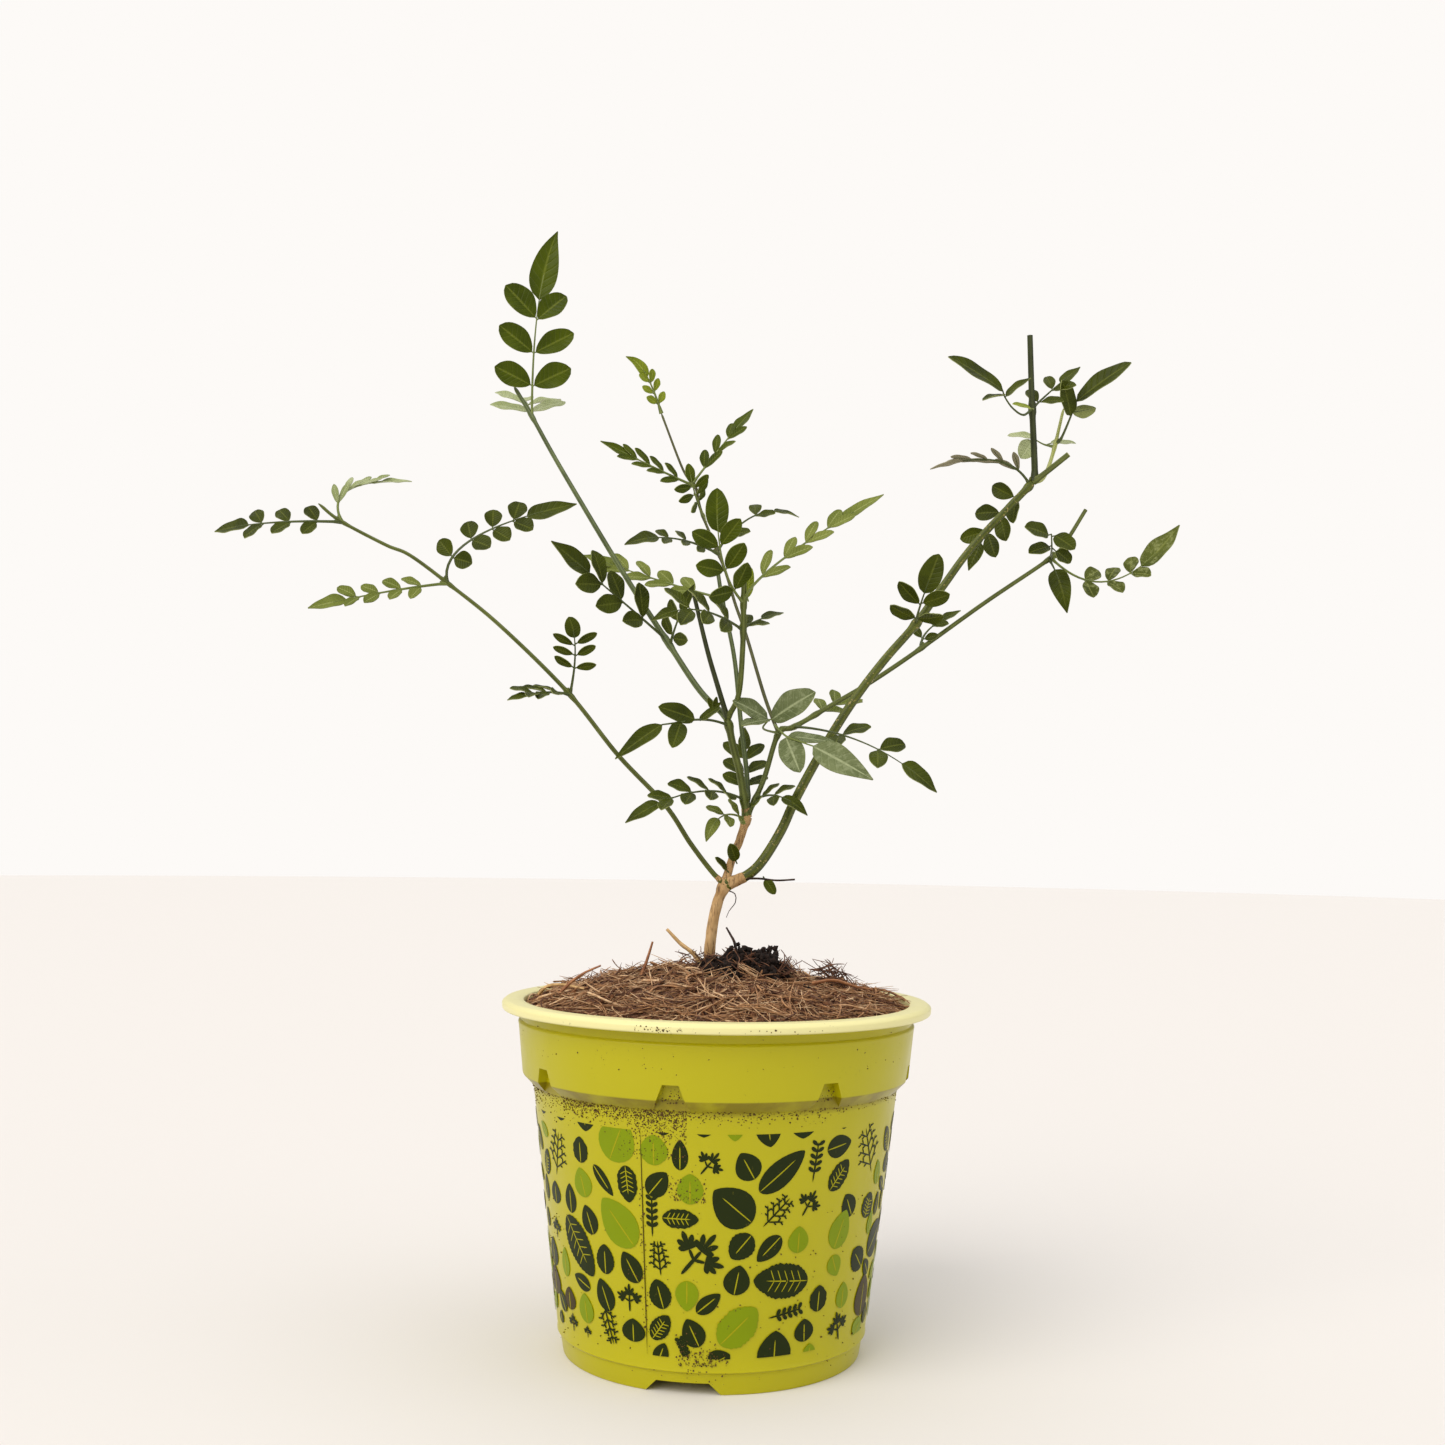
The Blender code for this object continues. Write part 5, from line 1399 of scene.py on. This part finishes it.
under = blade_face("dull_leaf_underside", "#737a42", "#8d9459", "#a6ac7c", 0.6)
rib = stem_skin("green_leaf_midrib", "#59662a", "#858f50")
rib_dark = stem_skin("dark_leaf_midrib", "#3c4620", "#5c6638")
backlit = blade_face("thin_backlit_underside", "#a2ab7e", "#c2c8a4", "#d0d4b8", 0.6)
BLADES = {
    "backlit": [blade_face("thin_backlit_blade", "#8f9a64", "#aeb68a", "#c4caa4", 0.5), backlit, rib],
    "pale": [blade_face("pale_olive_blade", "#5f6a24", "#7b843c", "#a4aa6c", 0.45), under, rib],
    "dark": [blade_face("glossy_dark_blade", "#2f3702", "#454e06", "#666c26", 0.42), under, rib_dark],
    "fresh": [blade_face("glossy_green_blade", "#394500", "#4a5602", "#747c2c", 0.42), under, rib],
    "young": [blade_face("young_yellow_blade", "#6a7814", "#8a972c", "#a8b058", 0.42),
              blade_face("young_underside", "#8f9a48", "#aab468", "#c8ce98", 0.55), rib],
    # The grey blade's pale grey-green and its pale patches are a painted sheen.
    "grey": [blade_face("bloomed_grey_blade", "#57613a", "#6e774e", "#98a078", 0.48, 0.5, "#868e68"),
             under, rib],
    "plum": [blade_face("plum_tinged_blade", "#65633f", "#827c58", "#9a9474", 0.5),
             blade_face("plum_tinged_underside", "#77735a", "#969074", "#b0aa90", 0.6), rib_dark],
    "speckled": [blade_face("speckled_blade", "#414a10", "#5a6222", "#7c8240", 0.42, 0.35, "#8a9058"),
                 under, rib],
}
print("blade finishes:", ", ".join(BLADES))

# %% One blade
ROWS, COLS, BLADE_THICKNESS = 14, 8, 0.28
SIDE_OUTLINE = (1.1, 0.6)
END_OUTLINE = (0.66, 0.92)
BLUNT_OUTLINE = (0.9, 0.55)
RIPPLE = 0.1


def blade(shape, spine, up, half, outline, fold, phase, lean=0.0):
    """A blade whose middle follows the spine, ROWS + 1 points from root to tip."""
    power, fullness = outline
    verts = bmesh.ops.create_grid(shape, x_segments=COLS, y_segments=ROWS, size=1,
                                  calc_uvs=True)["verts"]
    for vert in verts:
        x = vert.co.x
        row = round((vert.co.y + 1) / 2 * ROWS)
        share = row / ROWS
        ahead = (spine[min(ROWS, row + 1)] - spine[max(0, row - 1)]).normalized()
        across = ahead.cross(up).normalized()
        full = sin(pi * share ** power) ** fullness if 0 < share < 1 else 0
        width = half * max(0.03, full)
        ripple = RIPPLE * sin(2 * pi * 1.6 * share + phase + (1.3 if x > 0 else 0)) * x * x
        lift = across.cross(ahead) * width * (fold * abs(x) ** 1.4 + ripple)
        vert.co = spine[row] + across * width * (x + lean * x * x) + lift
    return list(dict.fromkeys(face for vert in verts for face in vert.link_faces))


def straight_spine(root, along, up, length, droop):
    """A middle line that bends down by the droop, a share of its length."""
    spine = []
    for row in range(ROWS + 1):
        share = row / ROWS
        forward = along * length * share * (1 - 0.25 * droop * share)
        spine.append(root + forward - up * length * droop * share ** 2)
    return spine


print("a blade has", ROWS * COLS, "faces on each side")

# %% How each leaf holds its leaflets
# The slant of the lowest pair from the midrib in degrees and how much each next pair closes, the
# side leaflets' length and width as shares of the usual, the end leaflet's, then its own pairs, and
# the way it looks where that differs from the table.
Habit = namedtuple("Habit", "slant step side wide end_long end_wide blunt pairs face",
                   defaults=(60, 8, 1.12, 1.12, 1.03, 1.05, False, None, None))
HABITS = {
    "leaf_top_left_upright": Habit(62, 8, 0.93, 1, 1, 0.92),
    "leaf_top_left_back": Habit(66, 5, 1, 1.15, 1, 1.4, False, 2, (1, -7, 6)),
    "leaf_left_tip": Habit(58, 2, 0.8, 1, 1, 1.1, False, 3, (0, -7, 6)),
    "leaf_left_tip_arch": Habit(18, 1, 1.4, 0.75, 1, 0.8, False, 4, (0, -5, 8)),
    "leaf_left_mid_upper": Habit(72, 6, 0.85, 1.25, 1.05, 1, False, 4, (0, -8, 5)),
    "leaf_left_mid_lower": Habit(45, 2, 0.95, 1, 1, 1.1, False, 4, (0, -7, 6)),
    "leaf_left_low_upper": Habit(68, 3, 1.05, 0.75, 1, 1.5, True),
    "leaf_left_low_lower": Habit(40, 4, 1.2, 1, 1, 1, False, 3, (0, -5, 8)),
    "leaf_fork_left": Habit(50, 4, 1, 1.1, 1, 1, False, 4, (0, -6, 7)),
    "leaf_fork_right": Habit(60, 4, 1, 1, 1, 1, False, 2, (0, -6, 7)),
    "leaf_right_long": Habit(30, 2, 1.1, 0.75, 1.1, 0.7, False, 4, (-3, -7, 5)),
    "leaf_right_low_pale": Habit(40, 3, 1.3, 1.2, 1, 1.2, False, 2, (0, -6, 7)),
    "leaf_centre_back": Habit(36, 3, 1.2, 1, 1, 1, False, 4, (2, -7, 6)),
    "leaf_centre_low_left": Habit(60, 6, 1.25, 1.2, 1.3, 1.3, False, 3, (0, -7, 6)),
    "leaf_centre_low_right": Habit(50, 4, 1.2, 1.2, 1.2, 1.2),
    "leaf_spray_left": Habit(30, 2, 1.2, 0.72, 1.1, 0.85, False, 4, (4, -8, 5)),
    "leaf_spray_right": Habit(26, 2, 1.15, 0.78, 1.15, 0.9, False, 3, (-4, -8, 4)),
    "leaf_spray_stack": Habit(84, 4, 0.95, 0.75, 0.9, 1, True, 4, (0, -7, 5)),
    "leaf_spray_low_left": Habit(60, 5, 1, 1, 1, 1.3, False, 3, (0, -6, 7)),
    "leaf_spray_low_right": Habit(60, 5, 0.9, 1, 1, 1, False, 2, (0, -5, 8)),
    "leaf_spray_tip": Habit(44, 4, 0.75, 0.7, 1.25, 1),
    "leaf_right_grey": Habit(25, 1, 1.5, 0.65, 1.1, 0.8),
    "leaf_right_face": Habit(62, 6, 1.25, 1.3, 1.2, 1.25),
    "leaf_right_far_outer": Habit(58, 4, 1.25, 1.6, 1, 1.2),
    "leaf_right_far_down": Habit(60, 8, 1, 1, 1.25, 1.25),
    "leaf_right_mid_face": Habit(60, 6, 1.05, 1.1, 1, 1.3, True),
    "leaf_centre_face": Habit(58, 5, 0.9, 0.98, 1, 1.25, True, 3),
    "leaf_upper_left": Habit(48, 4, 1.1, 1.1, 1, 1.1),
    "leaf_front_right": Habit(62, 8, 1.1, 1.3, 1, 1.15),
}
# Leaves whose leaflets are each set one by one: the midrib's points, then for each leaflet its root,
# its tip, half its width and the way that it looks, from the mulch's top on the pot's axis.
Leaflet = namedtuple("Leaflet", "root tip half face blunt", defaults=(True,))
SET_BY_HAND = {
    "leaf_front_left": (((14, 3, 79), (15.6, -4, 81.6)), (
        Leaflet((15.2, -4, 81.9), (3.7, -9, 87.9), 3.3, (-2, -7, 5)),
        Leaflet((15.6, -5, 81.5), (6.4, -14, 79.6), 2.7, (1, -4, 9)),
        Leaflet((16.6, -5, 81.7), (30.2, -12, 90.9), 4.9, (-3, -9, 4)))),
    "leaf_front_big": (((17.5, -4, 80), (20.8, -17, 75.7), (25.5, -22.5, 73.6), (29.1, -26, 72.2)), (
        Leaflet((20.8, -18, 75.2), (25, -26, 64), 4.1, (-2, -9, 3)),
        Leaflet((21.5, -17, 75.6), (39.6, -12, 74.2), 2.9, (0, -6, 8), False),
        Leaflet((29.1, -26, 72.2), (47.5, -36, 61.9), 4.5, (-3, -9, 4), False))),
    "leaf_centre_left": (((-3, -8, 80.8), (-8.5, -14, 80.6), (-13.5, -19, 79.4), (-18.9, -22, 78.4)), (
        Leaflet((-8.6, -15, 80.7), (-20, -22, 84.4), 3.1, (0, -9, 3)),
        Leaflet((-13, -19, 79.3), (-15.3, -26, 71.2), 2.9, (1, -9, 2)),
        Leaflet((-7, -12, 80.6), (-0.6, -9, 85.6), 1.7, (-2, -7, 6)),
        Leaflet((-18.9, -22, 78.4), (-33.6, -29, 67.4), 2.9, (1, -7, 6), False))),
    "leaf_top_right_arch": ((
        (101.5, 12, 188.4), (97.5, 10, 190.2), (94.6, 8.6, 193.6), (93.8, 8, 195.6)), (
        Leaflet((93.9, 8, 195.6), (74.6, 2, 206.6), 3.6, (3, -8, 6)),
        Leaflet((94.8, 8.4, 194), (102.4, 4, 199.8), 2.4, (-1, -6, 7), False),
        Leaflet((94.4, 8.4, 194.4), (85.6, 0, 191), 1.9, (0, -3, 9)))),
    "leaf_top_right_outer": (((117.6, 28, 184), (120, 26, 190), (122.8, 26, 197.6)), (
        Leaflet((122.6, 26, 197), (140.3, 20, 210.6), 3.7, (-3, -8, 6)),
        Leaflet((120.4, 25, 191.6), (116.4, 18, 202.6), 3.3, (2, -9, 3)),
        Leaflet((121, 25.6, 192.8), (129.8, 28, 194.8), 2.6, (0, 8, -3)))),
    "leaf_top_right_pale": (((112.7, 33, 183), (110.1, 34, 184.7)), (
        Leaflet((109.6, 34, 185.7), (100, 36, 187.3), 2, (0, -6, 7)),
        Leaflet((108.9, 34, 184.5), (104.3, 32, 177.8), 3.3, (1, -9, 3)),
        Leaflet((115, 33, 183.7), (124.6, 35, 184.7), 2.2, (0, -5, 8)))),
    "leaf_right_far_inner": (((111.9, 14, 143.2), (111, 10, 147.1)), (
        Leaflet((109.8, 9, 146.7), (101.2, 5, 149), 3.4, (1, -8, 5)),
        Leaflet((112.2, 10, 146.7), (118.3, 6, 141.7), 3.3, (-1, -8, 5)),
        Leaflet((110.7, 12, 143.3), (103, 8, 140.6), 2.7, (1, -7, 6)),
        Leaflet((113.3, 13, 141.8), (118.2, 12, 137.8), 3, (-1, -7, 6)))),
}
print("leaves set by hand:", len(SET_BY_HAND))

# %% One leaf
TONE_OF = {
    "leaf_top_left_upright": "fresh", "leaf_top_left_back": "backlit", "leaf_spray_tip": "young",
    "leaf_spray_right": "fresh", "leaf_spray_left": "fresh", "leaf_spray_stack": "fresh",
    "leaf_centre_face": "fresh", "leaf_front_big": "grey", "leaf_front_left": "grey",
    "leaf_right_grey": "plum", "leaf_right_far_outer": "speckled", "leaf_left_tip_arch": "backlit",
    "leaf_top_right_pale": "backlit", "leaf_right_low_pale": "pale", "leaf_right_long": "pale",
    "leaf_centre_back": "pale", "leaf_left_mid_lower": "pale", "leaf_fork_curl": "pale",
}
RIB_BASE, RIB_TIP = 0.5, 0.26
BLADE_SHARP_FROM = radians(60)
SIDE_SHARE, STEP_SHARE, END_SHARE, END_EXTRA = 0.27, 0.46, 0.19, 0.3


def leaf_path(leaf):
    route = routes[leaf.stem]
    base = point_at(route, leaf.share * lengths_along(route)[-1])
    middle, tip = Vector(leaf.middle), Vector(leaf.tip)
    bend = 2 * middle - tip / 2
    return [base + bend * 2 * t * (1 - t) + tip * t ** 2 for t in (n / 24 for n in range(25))]


def rib_tube(shape, uv, points, base, tip):
    radii = [base + (tip - base) * number / (len(points) - 1) for number in range(len(points))]
    sweep(shape, points, radii, 6, 0, 0.0, 2, uv)


def hang_leaflet(shape, uv, chance, foot, root, tip, half, face, outline, droop, lean=0.0):
    """One leaflet with its own little stalk from the midrib."""
    along = (tip - root).normalized()
    up = (face - along * face.dot(along)).normalized()
    length = (tip - root).length
    spine = straight_spine(root, along + up * droop * 0.5, up, length, droop)
    made = blade(shape, spine, up, half, outline,
                 chance.uniform(0.16, 0.34), chance.uniform(0, 6), lean)
    rib_tube(shape, uv, [foot] + [point - up * 0.2 for point in spine[::4]], 0.26, 0.1)
    return made


def leaf_by_pairs(shape, uv, chance, leaf):
    habit = HABITS.get(leaf.name, Habit())
    pairs = habit.pairs or leaf.pairs
    path = leaf_path(leaf)
    total = lengths_along(path)[-1]
    rachis = total - leaf.end
    spacing = rachis * (1 - leaf.first) / max(1, pairs - 0.4)
    usual_spacing = rachis * (1 - leaf.first) / max(1, leaf.pairs - 0.4)
    usual_half = min(SIDE_SHARE * leaf.side, STEP_SHARE * usual_spacing) * habit.wide
    faces = []

    def frame_at(length):
        here = point_at(path, length)
        ahead = (point_at(path, length + 0.5) - point_at(path, length - 0.5)).normalized()
        up = Vector(habit.face or leaf.face)
        up = (up - ahead * up.dot(ahead)).normalized()
        return here, ahead, up.cross(ahead), up

    rib_tube(shape, uv, evenly(path, 0.0, rachis + 0.35 * leaf.end, 22), RIB_BASE, 0.16)
    rib_tube(shape, uv, evenly(path, 0.0, 2.6, 5), RIB_BASE * 1.55, RIB_BASE)
    for number in range(pairs):
        at = rachis * leaf.first + number * spacing
        for turn in (1, -1):
            here, ahead, left, up = frame_at(at + chance.uniform(-0.45, 0.45))
            angle = radians(habit.slant - habit.step * number + chance.uniform(-6, 6))
            out = left * turn
            along = ahead * cos(angle) + out * sin(angle) + up * chance.uniform(0.0, 0.24)
            along.normalize()
            length = leaf.side * habit.side * chance.uniform(0.9, 1.06)
            half = usual_half * chance.uniform(0.94, 1.08)
            roll = (up + out * chance.uniform(-0.25, 0.25)).normalized()
            root = here + along * 0.8
            faces += hang_leaflet(shape, uv, chance, here, root, root + along * length, half, roll,
                                  SIDE_OUTLINE, chance.uniform(0.02, 0.18), 0.06 * turn)
    here, ahead, left, up = frame_at(rachis)
    spine = evenly(path, rachis, rachis + leaf.end * habit.end_long, ROWS + 1)
    half = (END_SHARE * leaf.end + END_EXTRA) * habit.end_wide
    faces += blade(shape, spine, up, half, BLUNT_OUTLINE if habit.blunt else END_OUTLINE,
                   chance.uniform(0.18, 0.3), chance.uniform(0, 6))
    return faces


def leaf_by_hand(shape, uv, chance, leaf):
    points, leaflets = SET_BY_HAND[leaf.name]
    path = smooth_path([leaf_path(leaf)[0]] + [MULCH_CENTRE + Vector(point) for point in points], 1.0)
    rib_tube(shape, uv, path, RIB_BASE, RIB_TIP)
    rib_tube(shape, uv, path[:4], RIB_BASE * 1.55, RIB_BASE)
    faces = []
    for leaflet in leaflets:
        root, tip = MULCH_CENTRE + Vector(leaflet.root), MULCH_CENTRE + Vector(leaflet.tip)
        foot = min(path, key=lambda point: (point - root).length)
        faces += hang_leaflet(shape, uv, chance, foot, root, tip, leaflet.half, Vector(leaflet.face),
                              BLUNT_OUTLINE if leaflet.blunt else END_OUTLINE, 0.1)
    return faces


def close_blades(shape, faces):
    """Gives the blades their thickness, and their lower side its own finish."""
    known = set(shape.faces)
    shape.normal_update()
    bmesh.ops.solidify(shape, geom=faces, thickness=BLADE_THICKNESS)
    for face in set(shape.faces) - known:
        face.material_index = 1


def grow_leaf(leaf):
    chance = Random(leaf.name)
    shape = bmesh.new()
    uv = shape.loops.layers.uv.new("blade")
    make = leaf_by_hand if leaf.name in SET_BY_HAND else leaf_by_pairs
    close_blades(shape, make(shape, uv, chance, leaf))
    finishes = BLADES[TONE_OF.get(leaf.name, "dark")]
    keep(shape, "compound_" + leaf.name, finishes, [leaf.name], BLADE_SHARP_FROM)


for leaf in LEAVES:
    grow_leaf(leaf)
print("leaves grown:", len(LEAVES))

# %% Small single leaflets at the crotch and on the twiglet
# Each: root and tip, half its width, and the way that it looks.
SINGLES = {
    "dark": (
        ((5.6, -1.8, 35), (3.6, -6, 40.6), 2, (0, -9, 3)),
        ((2.6, -1.4, 32), (-1, -4, 36.4), 1.4, (0, -6, 7)),
        ((15.2, -3, 29.2), (18.6, -4.4, 24.4), 1.7, (0, -9, 2)),
        ((-2.6, -3, 84.5), (-4.6, -4, 88.6), 0.9, (0, -9, 3)),
        ((-2.6, -3, 84.5), (-1.6, -4, 89), 0.8, (2, -9, 3)),
        ((-2.6, -3, 84.5), (-0.6, -5, 87), 0.8, (0, -8, 5)),
    ),
    "young": (
        ((7.7, -9, 121.1), (8.8, -12, 131.2), 1.7, (2, -9, 2)),
        ((8, -9, 121.1), (6.6, -10, 129.5), 1.1, (4, -8, 3)),
        ((102.5, 3, 188.6), (95.7, -1, 189.5), 1.2, (0, -7, 6)),
    ),
}


def grow_singles(tone):
    shape = bmesh.new()
    uv = shape.loops.layers.uv.new("blade")
    chance, faces = Random(21), []
    for root, tip, half, face in SINGLES[tone]:
        root, tip = MULCH_CENTRE + Vector(root), MULCH_CENTRE + Vector(tip)
        foot = root - (tip - root).normalized() * 1.2
        faces += hang_leaflet(shape, uv, chance, foot, root, tip, half, Vector(face),
                              BLUNT_OUTLINE, 0.12)
    close_blades(shape, faces)
    keep(shape, "small_leaflets_" + tone, BLADES[tone], (), BLADE_SHARP_FROM)


for tone in SINGLES:
    grow_singles(tone)
    print(tone, "single leaflets:", len(SINGLES[tone]))
